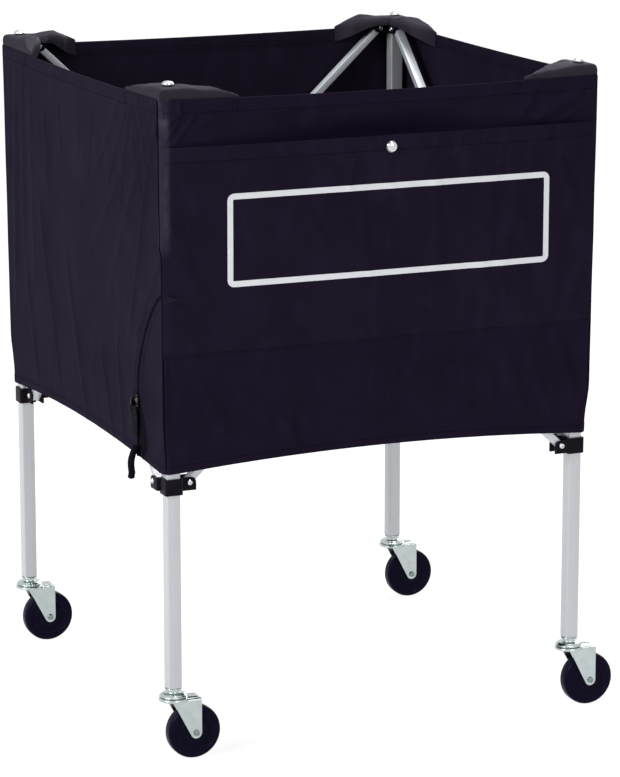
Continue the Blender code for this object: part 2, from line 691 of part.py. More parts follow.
WIDE = RIM_HALF
TUCK = CLOTH + CLEAR
RECESS_ROWS = [0.0, 0.3, 0.6, 0.85, 0.90, 0.924, 0.95, 0.975, 1.0]
PANELS = {
    0: panel_mesh(front_fold, RECESS_ROWS, 14, 0.0),
    1: panel_mesh(lambda x, z: upright_folds(x, z, -WIDE, WIDE, 0.6), even(6), 18, TUCK),
    2: panel_mesh(lambda x, z: upright_folds(x, z, -WIDE, WIDE, 2.1), even(6), 18, 0.0),
    3: panel_mesh(lambda x, z: upright_folds(x, z, -WIDE, ZIP_LINE - DRAPE_TO_ZIP, 0.0), even(6), 18, TUCK),
}
PANEL_LEGS = {0: 0, 1: 1, 2: 3, 3: 0}
for k, side in enumerate(SIDES):
    node(f"bag_{side}", PANELS[k], CLOTH_BLACK, legs[PANEL_LEGS[k]], turn=QUARTER * k, smooth=60)


# Bag floor: four triangles sewn along the foot of the sides, which fold up as the cart closes. Each
# is narrower along its seam, so that the bars can pass.
def floor_mesh():
    """The front triangle, in the cart's frame."""
    seam = bag_half(FLOOR_Z) - CLOTH - CLEAR
    step = HALF - BAR_PLANE - BAR_DEPTH / 2 - 10 * CLEAR
    bar_edge = PIVOT_REACH + (FLOOR_Z + FLOOR_SHEET - LOW_PIVOT_Z) / math.tan(BAR_ANGLE)
    bar_edge += BAR_WIDTH / 2 / math.sin(BAR_ANGLE)
    narrow = HALF - bar_edge - FLOOR_NOTCH_SIDE
    half_plan = [(narrow, -seam), (narrow, -step), (step - CLEAR, -step)]
    outline = half_plan + [(0.0, -CLEAR)] + [(-x, y) for x, y in reversed(half_plan)]
    return prism(outline, FLOOR_Z, FLOOR_Z + FLOOR_SHEET)


FLOOR = floor_mesh()
for k, side in enumerate(SIDES):
    seam_at = on_side(k, 0, HALF - bag_half(FLOOR_Z) + CLOTH + CLEAR, FLOOR_Z)
    flap = body(f"body_floor_{side}", legs[PANEL_LEGS[k]], seam_at)
    node(f"floor_{side}", FLOOR, CLOTH_BLACK, flap, turn=QUARTER * k)


# Hoods
def smooth_step(share):
    share = max(0.0, min(1.0, share))
    return share * share * (3 - 2 * share)


def mix(a, b, share):
    return a + (b - a) * share


def hood_section(out, arm):
    """The hood's cross section at a distance from the leg axis along one arm, as (inward, height)
    points of the middle of the cloth, from the rim over the top to the inner lower edge."""
    end = smooth_step((out - HOOD_ARCH_HALF) / (arm - HOOD_ARCH_HALF))
    rim = rim_z(HALF - out) + CLEAR
    inner_face = RIM_HALF - HALF + BAR_PLANE + CLEVIS_HALF
    inner = mix(inner_face + HOOD_INNER_GAP, HOOD_END_WIDTH, end)
    top_end = rim - CLEAR + HOOD_END_RISE
    if out < HOOD_SHOULDER_AT:
        top = smooth_step((out - HOOD_FLAT) / (HOOD_SHOULDER_AT - HOOD_FLAT))
        top = mix(HOOD_TOP, HOOD_SHOULDER, top)
    else:
        top = mix(HOOD_SHOULDER, top_end, (out - HOOD_SHOULDER_AT) / (arm - HOOD_SHOULDER_AT))
    low = mix(HOOD_ARCH_Z, HOOD_DROP_Z, end)
    rise = top - rim
    outer = CLOTH / 2
    return [
        (outer, rim),
        (outer + 0.00005, rim + 0.24 * rise),
        (mix(outer + 0.0016, outer + 0.0005, end), rim + 0.74 * rise),
        (mix(outer + 0.0059, outer + 0.0016, end), top - 0.0001),
        (inner - mix(0.0049, 0.0020, end), top),
        (inner - mix(0.0006, 0.0003, end), top - mix(0.0040, 0.0014, end)),
        (inner, low),
    ]


def hood_mesh(front_arm, side_arm):
    """The cloth over the front left top bracket, with its corner at the bag's corner: an arm along
    the left side, a mitre, and an arm along the front."""
    overhang = RIM_HALF - HALF
    mitre = [inward - overhang for inward, _ in hood_section(0.0, front_arm)]
    rows = []
    for along_front, arm, shares in ((False, side_arm, HOOD_ROWS[::-1]), (True, front_arm, HOOD_ROWS[1:])):
        for share in shares:
            row = []
            for column, corner in enumerate(mitre):
                out = mix(corner, arm, share)
                inward, z = hood_section(out, arm)[column]
                row.append((out, inward - overhang, z) if along_front else (inward - overhang, out, z))
            rows.append(row)
    columns = len(rows[0])
    points = [p for row in rows for p in row]
    faces = []
    for r in range(len(rows) - 1):
        for c in range(columns - 1):
            a = r * columns + c
            faces.append((a, a + 1, a + columns + 1, a + columns))
    hole = SNAP_POST_R + CLEAR
    above = HOOD_TOP + SNAP_R
    below = HOOD_TOP - SNAP_R
    post = turned([(0, above), (hole, above), (hole, below), (0, below)], 12)
    return carved(mesh_from("hood", points, faces), cut=[post], thickness=CLOTH)


# The arms along the front and the back are the shorter ones
HOODS = (hood_mesh(HOOD_SHORT_ARM, HOOD_LONG_ARM), hood_mesh(HOOD_LONG_ARM, HOOD_SHORT_ARM))


# Snaps
def snap_mesh(post_length):
    """A snap with its underside at height 0 and its post below."""
    profile = [(0, SNAP_FLANGE + SNAP_DOME)]
    for degrees in (35, 70):
        turn = math.radians(degrees)
        profile.append((SNAP_R * 0.9 * math.sin(turn), SNAP_FLANGE + SNAP_DOME * math.cos(turn)))
    profile += [(SNAP_R, SNAP_FLANGE), (SNAP_R, 0), (SNAP_POST_R, 0)]
    profile += [(SNAP_POST_R, -post_length), (0, -post_length)]
    return turned(profile, 10)


SNAP_Z = HOOD_TOP + CLOTH / 2 + CLEAR
SNAP = moved(snap_mesh(SNAP_Z - TUBE_TOP + SNAP_HOLD), shift(z=SNAP_Z))

for k, corner in enumerate(CORNERS):
    node(f"hood_{corner}", HOODS[k % 2], CLOTH_BLACK, legs[k], at_corner(k), turn=QUARTER * k, smooth=60)
    node(f"snap_{corner}", SNAP, CHROME, legs[k], at_corner(k), smooth=50)


# Pocket, the full width of the front, with one snap at the middle of its mouth
def pocket_face(x, z):
    """The pocket's outer face: it stands a little away from the panel below its mouth's hem."""
    middle = (POCKET_MOUTH + POCKET_BOTTOM) / 2
    bulge = POCKET_BULGE * ridge(z - middle, middle - POCKET_BOTTOM) * ridge(x, RIM_HALF)
    return -bag_half(z) - CLEAR - POCKET_SHEET - bulge


def pocket_mesh():
    outer = []
    inner = []
    columns = 8
    for share in POCKET_ROWS:
        z = mix(POCKET_BOTTOM, POCKET_TOP, share)
        half = bag_half(z) - POCKET_INSET
        xs = [half * (2 * c / columns - 1) for c in range(columns + 1)]
        outer.append([(x, pocket_face(x, z), z) for x in xs])
        inner.append([(x, pocket_face(x, z) + POCKET_SHEET, z) for x in xs])
    hole = SNAP_POST_R + CLEAR
    skin = pocket_face(POCKET_SNAP_X, POCKET_SNAP_Z)
    out = skin - SNAP_R
    back = skin + SNAP_R
    post = turned([(0, out), (hole, out), (hole, back), (0, back)], 12, "Y")
    return carved(shell(outer, inner), cut=[moved(post, shift(POCKET_SNAP_X, 0, POCKET_SNAP_Z))])


node("pocket", pocket_mesh(), POCKET_BLACK, legs[0], smooth=60)
pocket_skin = pocket_face(POCKET_SNAP_X, POCKET_SNAP_Z) - CLEAR
snap_reach = -bag_half(POCKET_SNAP_Z) - CLEAR - pocket_skin
face_front = shift(POCKET_SNAP_X, pocket_skin, POCKET_SNAP_Z) @ Matrix.Rotation(QUARTER, 4, "X")
node("pocket_snap", moved(snap_mesh(snap_reach), face_front), CHROME, legs[0], smooth=50)


# Zip. It lies on the left panel, whose plane leans by a fraction of a degree. It is modelled in the
# front side's place, like the panels, with the zip to the right, and turned with them.
LEAN = math.atan2(RIM_HALF - HEM_HALF, RIM_Z - HEM_Z)
ZIP_CENTRE_X = ZIP_LINE + ZIP_ARC_R


def on_panel(x, height, out=0.0):
    """A point over the panel's outer plane. Height is measured up the plane from the hem's level."""
    y = -HEM_HALF - height * math.sin(LEAN) - out * math.cos(LEAN)
    return (x, y, HEM_Z + height * math.cos(LEAN) - out * math.sin(LEAN))


def panel_frame(x, height, out, turn_deg=0.0):
    """A frame on the panel: X along the side, Z up the panel, -Y out of it."""
    place = Matrix.Translation(on_panel(x, height, out))
    return place @ Matrix.Rotation(LEAN, 4, "X") @ Matrix.Rotation(math.radians(turn_deg), 4, "Y")


def zip_point(angle_deg):
    """A point of the zip's arc, in the panel's plane."""
    turn = math.radians(angle_deg)
    height = ZIP_ARC_Z - HEM_Z + ZIP_ARC_R * math.sin(turn)
    return ZIP_CENTRE_X - ZIP_ARC_R * math.cos(turn), height


def slider_mesh():
    """The slider, with its middle at the origin, its back at y = 0 and a bridge over its front."""
    base = prism(rounded_rectangle(SLIDER_WIDTH / 2, SLIDER_LENGTH / 2, 0.003), -SLIDER_BODY, 0.0, "XZ")
    bridge_out = -SLIDER_BODY - ARCH_VOID - ARCH_STRAP
    span = ARCH_SPAN / 2
    bridge = [(-SLIDER_BODY / 2, span), (bridge_out + 0.002, span), (bridge_out, span - 0.002)]
    bridge += [(y, -z) for y, z in reversed(bridge)]
    void_out = -SLIDER_BODY - ARCH_VOID
    void_half = span - ARCH_STRAP
    void = [(-SLIDER_BODY, void_half), (void_out, void_half)]
    void += [(y, -z) for y, z in reversed(void)]
    half = ARCH_WIDTH / 2
    return carved(base, [prism(bridge, -half, half, "YZ")], [prism(void, -2 * half, 2 * half, "YZ")])


def pull_mesh():
    """The pull, with its bar along X at the origin and its plate hanging below: an oval plate with a
    window at the top for the slider's bridge."""
    top = PULL_BAR / 2
    low = top - PULL_LENGTH
    half = PULL_WIDTH / 2
    neck = PULL_NECK / 2
    corner = 0.002
    outline = arc((0, low + half), half, 180, 360, 8)
    outline += [(half, -1.7 * PULL_WINDOW), (neck, -0.9 * PULL_WINDOW)]
    outline += arc((neck - corner, top - corner), corner, 0, 90, 2)
    outline += arc((corner - neck, top - corner), corner, 90, 180, 2)
    outline += [(-neck, -0.9 * PULL_WINDOW), (-half, -1.7 * PULL_WINDOW)]
    plate = prism(outline, -PULL_SHEET / 2, PULL_SHEET / 2, "XZ")
    window_half = neck - PULL_RIM
    window = [(window_half, -top), (-window_half, -top)]
    window += [(-window_half, -PULL_WINDOW), (window_half, -PULL_WINDOW)]
    return carved(plate, cut=[prism(window, -PULL_SHEET, PULL_SHEET, "XZ")])


ZIP_TURN = QUARTER * 3
to_left = Matrix.Rotation(ZIP_TURN, 4, "Z")
slider_out = CLEAR
slider_x, slider_height = zip_point(SLIDER_DEG)
bar_out = slider_out + SLIDER_BODY + ARCH_VOID * 0.7
arc_centre = to_left @ Vector(on_panel(ZIP_CENTRE_X, ZIP_ARC_Z - HEM_Z, slider_out))
bar_centre = to_left @ Vector(on_panel(slider_x, slider_height, bar_out))
slider_body = body("body_zip_slider", legs[0], arc_centre)
pull_body = body("body_zip_pull", slider_body, bar_centre)

slider_frame = panel_frame(slider_x, slider_height, slider_out, SLIDER_DEG)
twist = Matrix.Rotation(math.radians(PULL_TWIST_DEG), 4, "Z")
pull_frame = panel_frame(slider_x, slider_height, bar_out) @ twist
node("zip_slider", moved(slider_mesh(), slider_frame), ZIP_BLACK, slider_body, turn=ZIP_TURN)
node("zip_pull", moved(pull_mesh(), pull_frame), ZIP_BLACK, pull_body, turn=ZIP_TURN)


# The origin is on the floor, at the middle of the whole cart's box
bpy.context.view_layer.update()
corners = [o.matrix_world @ Vector(c) for o in bpy.data.objects if o.type == "MESH" for c in o.bound_box]
low_x, high_x = min(c.x for c in corners), max(c.x for c in corners)
low_y, high_y = min(c.y for c in corners), max(c.y for c in corners)
cart.location = (-(low_x + high_x) / 2, -(low_y + high_y) / 2, 0.0)
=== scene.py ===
"""Looks of the folding ball cart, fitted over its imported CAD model.

Metres, +Z up. The front, with the pocket, faces -Y, and the zip is on the left side, at -X. What is
alike on every side or corner is made once, in the frame of a side, and set on the others by quarter
turns.
"""
import math

import bmesh
import bpy
from mathutils import Matrix, Vector, noise


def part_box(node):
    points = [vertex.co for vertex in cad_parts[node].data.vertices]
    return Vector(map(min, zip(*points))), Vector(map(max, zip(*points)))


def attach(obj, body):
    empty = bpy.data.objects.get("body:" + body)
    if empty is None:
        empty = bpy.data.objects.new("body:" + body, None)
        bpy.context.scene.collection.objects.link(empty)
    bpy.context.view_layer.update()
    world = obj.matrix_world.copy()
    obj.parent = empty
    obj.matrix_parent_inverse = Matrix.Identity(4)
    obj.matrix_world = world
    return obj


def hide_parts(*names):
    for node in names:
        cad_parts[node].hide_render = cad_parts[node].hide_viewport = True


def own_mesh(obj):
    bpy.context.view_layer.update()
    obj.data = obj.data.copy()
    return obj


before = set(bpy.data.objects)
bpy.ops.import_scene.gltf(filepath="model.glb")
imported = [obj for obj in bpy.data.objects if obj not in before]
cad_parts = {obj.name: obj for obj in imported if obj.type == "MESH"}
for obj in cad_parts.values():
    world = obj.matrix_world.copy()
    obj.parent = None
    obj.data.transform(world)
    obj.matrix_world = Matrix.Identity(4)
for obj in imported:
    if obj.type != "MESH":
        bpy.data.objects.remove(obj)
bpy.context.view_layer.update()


# Legs. Four uprights of square aluminium tube with round edges, anodised satin, and sawn off square.
# The top brackets are pressed on them, the caster stems into them, and the low brackets slide on them.
CORNERS = ("front_left", "front_right", "back_right", "back_left")
SIDES = ("front", "right", "back", "left")
QUARTER = math.pi / 2
near_low, near_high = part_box("leg_front_left")
far_low, far_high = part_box("leg_back_right")
MIDDLE = (near_low + far_high) / 2
HALF = (far_low.x - near_low.x) / 2
TUBE = near_high.x - near_low.x
TUBE_WALL = 0.0012
TUBE_EDGE = 0.0021
TUBE_SHARP = 12               # degrees, over which an edge of it is shaded sharp
SAWN = 0.0003
LEAST_R = 0.0002              # of a hollow corner, and at the middle of a turned piece


class Field:
    """An output of a node. Arithmetic on it adds Math nodes."""

    def __init__(self, nodes, socket):
        self.nodes = nodes
        self.socket = socket

    def __add__(self, other):
        return self.nodes.maths("ADD", self, other)

    def __mul__(self, other):
        return self.nodes.maths("MULTIPLY", self, other)

    __radd__ = __add__
    __rmul__ = __mul__


class Nodes:
    """The node tree of a material or of the world."""

    def __init__(self, tree):
        self.tree = tree

    def fill(self, node, sockets):
        """Links a node's inputs to the fields among these values, and sets the others."""
        for key, value in sockets.items():
            if isinstance(value, Field):
                self.tree.links.new(value.socket, node.inputs[key])
            else:
                node.inputs[key].default_value = value

    def node(self, kind, settings=None, sockets=None, output=0):
        """Adds a node of a kind, with its settings and then its sockets, and gives one of its outputs."""
        made = self.tree.nodes.new("ShaderNode" + kind)
        for key, value in (settings or {}).items():
            setattr(made, key, value)
        self.fill(made, sockets or {})
        return Field(self, made.outputs[output])

    def maths(self, operation, *values):
        return self.node("Math", {"operation": operation}, dict(enumerate(values)))

    def looked_at(self):
        """1 for the rays by which a thing is seen, straight, mirrored or through glass, and 0 for light."""
        kinds = ("Camera", "Glossy", "Transmission")
        seen, mirrored, through = (self.node("LightPath", output=f"Is {kind} Ray") for kind in kinds)
        return self.maths("MAXIMUM", self.maths("MAXIMUM", seen, mirrored), through)


class Finish(Nodes):
    """A material being made. What is the same all over is set on its shader, and node() adds the rest."""

    def __init__(self, name, **constants):
        self.material = bpy.data.materials.new(name)
        self.material.use_nodes = True
        super().__init__(self.material.node_tree)
        self.shader = self.tree.nodes["Principled BSDF"]
        self.vary(**constants)

    def point(self, stretch=(1, 1, 1)):
        """The place on the piece, in metres, stretched along its own axes."""
        here = self.node("TexCoord", output=3)
        return self.node("VectorMath", {"operation": "MULTIPLY"}, {0: here, 1: stretch})

    def clouds(self, scale, stretch=(1, 1, 1), detail=3.0):
        """Soft noise from 0 to 1."""
        return self.node("TexNoise", {}, {"Vector": self.point(stretch), "Scale": scale, "Detail": detail})

    def ramp(self, value, low, high):
        """A value spread from 0 at low to 1 at high."""
        return self.node("MapRange", {"interpolation_type": "SMOOTHSTEP"},
                         {"Value": value, "From Min": low, "From Max": high})

    def colours(self, mask, first, second):
        """One colour where the mask is 0 and another where it is 1."""
        ends = {0: mask, 6: first, 7: second}
        for key in (6, 7):
            if not isinstance(ends[key], Field):
                ends[key] = (*ends[key], 1)
        return self.node("Mix", {"data_type": "RGBA"}, ends, output=2)

    def relief(self, height, depth):
        """Bumps of a height from 0 to 1, times a depth in metres."""
        return self.node("Bump", {}, {"Height": height, "Distance": depth, "Strength": 1.0})

    def vary(self, **sockets):
        """Sets sockets of the shader, and gives the material."""
        self.fill(self.shader, {key.replace("_", " "): value for key, value in sockets.items()})
        return self.material


def satin_aluminium(name, stretch, metallic, dark, pale):
    """Drawn aluminium, with faint die lines along the tube. Anodising makes it less of a mirror."""
    finish = Finish(name, Metallic=metallic)
    lines = finish.clouds(1.0, stretch, 2.0)
    haze = finish.clouds(22.0)
    tone = finish.colours(lines * 0.6 + haze * 0.4, dark, pale)
    return finish.vary(Base_Color=tone, Roughness=0.26 + haze * 0.16, Normal=finish.relief(lines, 0.00004))


def mesh_of(points, faces, sharp):
    """A smooth mesh whose faces look outwards, with edges over an angle kept sharp."""
    made = bpy.data.meshes.new("mesh")
    made.from_pydata([tuple(p) for p in points], [], faces)
    shape = bmesh.new()
    shape.from_mesh(made)
    bmesh.ops.recalc_face_normals(shape, faces=shape.faces)
    shape.to_mesh(made)
    shape.free()
    made.shade_smooth()
    made.set_sharp_from_angle(angle=math.radians(sharp))
    return made


def lofted(rings, sharp, ends="capped"):
    """A mesh through rings of as many points each. Its ends are capped, joined to each other or open."""
    count = len(rings[0])
    points = [p for ring in rings for p in ring]
    pairs = list(zip(range(len(rings)), range(1, len(rings))))
    faces = []
    if ends == "joined":
        pairs.append((len(rings) - 1, 0))
    elif ends == "capped":
        faces.append(tuple(range(count)))
        faces.append(tuple(range(len(points) - count, len(points))))
    for a, b in pairs:
        for i in range(count):
            j = (i + 1) % count
            faces.append((a * count + i, a * count + j, b * count + j, b * count + i))
    return mesh_of(points, faces, sharp)


def rounded(half_x, half_y, radius, steps=5):
    """The outline of a rectangle with round corners."""
    outline = []
    for sx, sy, start in ((1, 1, 0), (-1, 1, 90), (-1, -1, 180), (1, -1, 270)):
        for step in range(steps + 1):
            turn = math.radians(start + 90 * step / steps)
            x = sx * (half_x - radius) + radius * math.cos(turn)
            y = sy * (half_y - radius) + radius * math.sin(turn)
            outline.append((x, y))
    return outline


def tube_mesh(half_x, half_y, wall, edge, low, high):
    """A drawn tube along Z, with its sawn ends a little broken."""
    outer = rounded(half_x, half_y, edge)
    broken = rounded(half_x - SAWN, half_y - SAWN, edge - SAWN)
    bore = rounded(half_x - wall, half_y - wall, max(edge - wall, LEAST_R))
    section = ((bore, low), (broken, low), (outer, low + SAWN),
               (outer, high - SAWN), (broken, high), (bore, high))
    rings = [[(x, y, z) for x, y in outline] for outline, z in section]
    return lofted(rings, TUBE_SHARP, "joined")


def facing(side):
    """The frame of a side: X to the right seen from outside, Y inwards, from the cart's middle."""
    return Matrix.Translation((MIDDLE.x, MIDDLE.y, 0)) @ Matrix.Rotation(QUARTER * side, 4, "Z")


def at_leg(corner):
    """The frame of a leg's axis, turned as the side to its right."""
    return facing(corner) @ Matrix.Translation((-HALF, -HALF, 0))


def piece(name, mesh, look, slot, place, body, *nodes):
    """A piece in place, that rides on a body and stands for CAD nodes."""
    made = bpy.data.objects.new(name, mesh)
    mesh.name = name
    mesh.materials.clear()
    mesh.materials.append(look)
    bpy.context.scene.collection.objects.link(made)
    made.matrix_world = place
    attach(made, body)
    if nodes:
        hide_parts(*nodes)
    return made


LEG_SATIN = satin_aluminium("leg_satin", (900, 900, 9), 0.45, (0.49, 0.51, 0.54), (0.60, 0.61, 0.63))
LEG = tube_mesh(TUBE / 2, TUBE / 2, TUBE_WALL, TUBE_EDGE, near_low.z, near_high.z)
for k, corner in enumerate(CORNERS):
    leg = f"leg_{corner}"
    piece(f"leg_tube_{corner}", LEG.copy(), LEG_SATIN, "aluminium", at_leg(k), leg, leg)


# Brackets. Glass-filled nylon mouldings, satin black: a socket on the tube with a two-eared clevis
# towards each neighbouring leg. The top ones are closed and the low ones open, to slide.
MOULDED_EDGE = 0.00045
MOULDED_SHARP = 30
SAME_PLACE = 2e-6
FLAT = 1                      # degrees, up to which two faces are one


def softened(node, width, sharp):
    """A CAD node's mesh with its flat faces whole again and its edges rounded."""
    shape = bmesh.new()
    shape.from_mesh(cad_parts[node].data)
    bmesh.ops.remove_doubles(shape, verts=shape.verts, dist=SAME_PLACE)
    bmesh.ops.dissolve_limit(shape, angle_limit=math.radians(FLAT), verts=shape.verts, edges=shape.edges)
    edges = [e for e in shape.edges if e.is_manifold and e.calc_face_angle() > math.radians(sharp)]
    bmesh.ops.bevel(shape, geom=edges, offset=width, segments=3, profile=0.5, affect="EDGES",
                    clamp_overlap=True)
    made = bpy.data.meshes.new(node)
    shape.to_mesh(made)
    shape.free()
    made.shade_smooth()
    made.set_sharp_from_angle(angle=math.radians(sharp))
    return made


def satin_moulding():
    """Black nylon: a fine grain, with duller and shinier patches where hands and bars rub it."""
    finish = Finish("black_nylon", IOR=1.13)
    grain = finish.clouds(2600.0, detail=2.0)
    rubbed = finish.clouds(60.0)
    tone = finish.colours(rubbed, (0.0050, 0.0032, 0.0068), (0.0095, 0.0068, 0.0120))
    return finish.vary(Base_Color=tone, Roughness=0.34 + rubbed * 0.16, Normal=finish.relief(grain, 0.00003))


NYLON = satin_moulding()
for corner in CORNERS:
    for level, body in (("top", f"leg_{corner}"), ("low", f"low_{corner}")):
        node = f"{level}_bracket_{corner}"
        moulding = softened(node, MOULDED_EDGE, MOULDED_SHARP)
        piece(f"{level}_moulding_{corner}", moulding, NYLON, "black_plastic", Matrix(), body, node)


# Scissor bars. Rectangular aluminium tube, two on each side, that run from a top bracket down to the
# next leg's low bracket. Steel pins are staked through their ends and turn in the brackets' ears.
TOP_PIVOT_Z = 0.8995
LOW_PIVOT_Z = 0.3845
PIVOT_REACH = 0.025
BAR_WIDTH = 0.010
BAR_DEPTH = 0.013
BAR_WALL = 0.0013
BAR_EDGE = 0.0010
BAR_END = 0.007
BAR_PLANE = 0.00675
EARS_HALF = 0.0098
PIN_R = 0.0025
PIN_HEAD_R = 0.0039
PIN_HEAD = 0.0022
PIN_SOCKET = 0.0019
PIN_TAIL = 0.0016
PIN_GAP = 0.0003
PIN_CUTS = 30
MACHINED_SHARP = 35
BAR_RUN = 2 * (HALF - PIVOT_REACH)
BAR_SLOPE = math.atan2(TOP_PIVOT_Z - LOW_PIVOT_Z, BAR_RUN)
BAR_HALF = math.hypot(TOP_PIVOT_Z - LOW_PIVOT_Z, BAR_RUN) / 2
BAR_MIDDLE_Z = (TOP_PIVOT_Z + LOW_PIVOT_Z) / 2


def turned(profile, segments, sharp, ends="capped"):
    """A turned piece about Z. The profile is (radius, height) points; a third value makes that ring
    hexagonal by so much."""
    rings = []
    for radius, height, *six in profile:
        ring = []
        for i in range(segments):
            turn = 2 * math.pi * i / segments
            flat = math.cos(math.pi / 6) / math.cos((turn % (math.pi / 3)) - math.pi / 6)
            reach = radius * (1 + (flat - 1) * (six[0] if six else 0))
            ring.append((reach * math.cos(turn), reach * math.sin(turn), height))
        rings.append(ring)
    return lofted(rings, sharp, ends)


def combined(*meshes):
    """One mesh of several."""
    shape = bmesh.new()
    for mesh in meshes:
        shape.from_mesh(mesh)
    made = bpy.data.meshes.new("combined")
    shape.to_mesh(made)
    shape.free()
    return made


def moved(mesh, matrix):
    made = mesh.copy()
    made.transform(matrix)
    return made


def pin_mesh(outer, inner):
    """A pin along Z with its domed head, which has a hexagonal socket, below outer, and its riveted
    tail above inner."""
    face = outer - PIN_GAP
    end = inner + PIN_GAP
    profile = [
        (LEAST_R, face - PIN_HEAD + 0.0012), (PIN_SOCKET * 0.8, face - PIN_HEAD + 0.0011, 1),
        (PIN_SOCKET, face - PIN_HEAD + 0.0001, 1), (PIN_SOCKET + 0.0004, face - PIN_HEAD, 0.5),
        (PIN_HEAD_R * 0.78, face - PIN_HEAD + 0.0003), (PIN_HEAD_R * 0.94, face - PIN_HEAD + 0.0009),
        (PIN_HEAD_R, face - 0.0004), (PIN_HEAD_R, face), (PIN_R, face), (PIN_R, end),
        (PIN_HEAD_R * 0.9, end), (PIN_HEAD_R * 0.9, end + PIN_TAIL * 0.4),
        (PIN_HEAD_R * 0.6, end + PIN_TAIL), (LEAST_R, end + PIN_TAIL),
    ]
    return turned(profile, PIN_CUTS, MACHINED_SHARP)


def polished_steel(name, roughness):
    """Chromed steel, with faint wiping marks."""
    finish = Finish(name, Metallic=1.0)
    marks = finish.clouds(260.0)
    tone = finish.colours(marks, (0.52, 0.53, 0.55), (0.68, 0.68, 0.69))
    return finish.vary(Base_Color=tone, Roughness=roughness + marks * 0.08)


def bright_zinc(name, dark, pale):
    """Zinc plate with its blue-green chromate, in soft blotches."""
    finish = Finish(name, Metallic=1.0)
    blotch = finish.clouds(70.0)
    fine = finish.clouds(900.0)
    tone = finish.colours(blotch, dark, pale)
    rough = 0.12 + blotch * 0.10 + fine * 0.06
    return finish.vary(Base_Color=tone, Roughness=rough, Normal=finish.relief(fine, 0.00002))


PIN_STEEL = polished_steel("pin_steel", 0.10)
ZINC = bright_zinc("bright_zinc", (0.37, 0.44, 0.44), (0.56, 0.60, 0.60))
# The axle bolts' zinc is a darker copy of the stems' zinc: painted shade, for the dark ring round each axle
# head.
BOLT_ZINC_PAINTED_SHADE = bright_zinc("bolt_zinc_painted_shade", (0.16, 0.20, 0.20), (0.34, 0.38, 0.38))
BAR_SATIN = satin_aluminium("bar_satin", (9, 900, 900), 0.35, (0.52, 0.55, 0.60), (0.66, 0.68, 0.71))
BAR = tube_mesh(BAR_WIDTH / 2, BAR_DEPTH / 2, BAR_WALL, BAR_EDGE, -BAR_HALF - BAR_END, BAR_HALF + BAR_END)
END_PIN = pin_mesh(-EARS_HALF, EARS_HALF)
CROSSING = pin_mesh(-BAR_DEPTH / 2, BAR_DEPTH / 2 + 2 * BAR_PLANE)
INWARD = Matrix.Rotation(-QUARTER, 4, "X")
LENGTHWISE = Matrix.Rotation(QUARTER, 4, "Y")
for k, side in enumerate(SIDES):
    for layer, plane, slope in (("outer", -BAR_PLANE, BAR_SLOPE), ("inner", BAR_PLANE, -BAR_SLOPE)):
        name = f"{layer}_bar_{side}"
        centre = facing(k) @ Matrix.Translation((0, plane - HALF, BAR_MIDDLE_Z))
        lying = centre @ Matrix.Rotation(slope, 4, "Y")
        piece(f"{layer}_tube_{side}", moved(BAR, LENGTHWISE), BAR_SATIN, "aluminium", lying, name, name)
        top = -1 if layer == "outer" else 1
        pins = []
        for end in (-1, 1):
            flip = Matrix.Rotation(math.pi, 4, "X") if end == top else Matrix()
            pins.append(moved(END_PIN, Matrix.Translation((end * BAR_HALF, 0, 0)) @ flip @ INWARD))
        piece(f"{layer}_pins_{side}", combined(*pins), PIN_STEEL, "chrome", lying, name)
    centre = facing(k) @ Matrix.Translation((0, -BAR_PLANE - HALF, BAR_MIDDLE_Z))
    piece(f"crossing_rivet_{side}", moved(CROSSING, INWARD), ZINC, "zinc", centre, f"outer_bar_{side}",
          f"crossing_pin_{side}")


# Casters. A zinc plated stem, pressed into the tube, ends in an upper race cup. The fork is one
# pressed sheet with its own race, held to the cup by a riveted kingpin, and turns on balls.
WHEEL_R = 0.0375
TRAIL = 0.028
FORK_SHEET = 0.0022
FORK_PLATE_Z = 0.0835
FORK_TOP = FORK_PLATE_Z + FORK_SHEET
RACE_R = 0.020
RACE_LIP = 0.0026
CUP_R = 0.019
CUP_LOW = FORK_TOP + RACE_LIP + 0.0003
CUP_TOP = CUP_LOW + 0.0058
NECK_R = 0.0085
COLLAR_R = 0.0115
COLLAR_TOP = near_low.z - 0.0003
STEM_R = 0.0080
KINGPIN_R = 0.004
KINGPIN_HEAD_R = 0.007
HUB_HALF = 0.0115
TREAD_HALF = 0.0105
FORK_IN = HUB_HALF + 0.0003
FORK_OUT = FORK_IN + FORK_SHEET
FORK_TIP_R = 0.008
FORK_FRONT = -0.006
FORK_BEND = 0.0024
FORK_BEND_IN = 0.0004
AXLE_R = 0.003
CREASE_X = 0.0165
FORK_FLARE = 0.0034
PAD_X = TRAIL - 0.0045        # middle of the raised pad in the fork's top
AXLE_CUTS = 36
ROUND_CUTS = 56
PRESSED_SHARP = 50
WHEEL_CUTS = 96
WHEEL_SHARP = 32

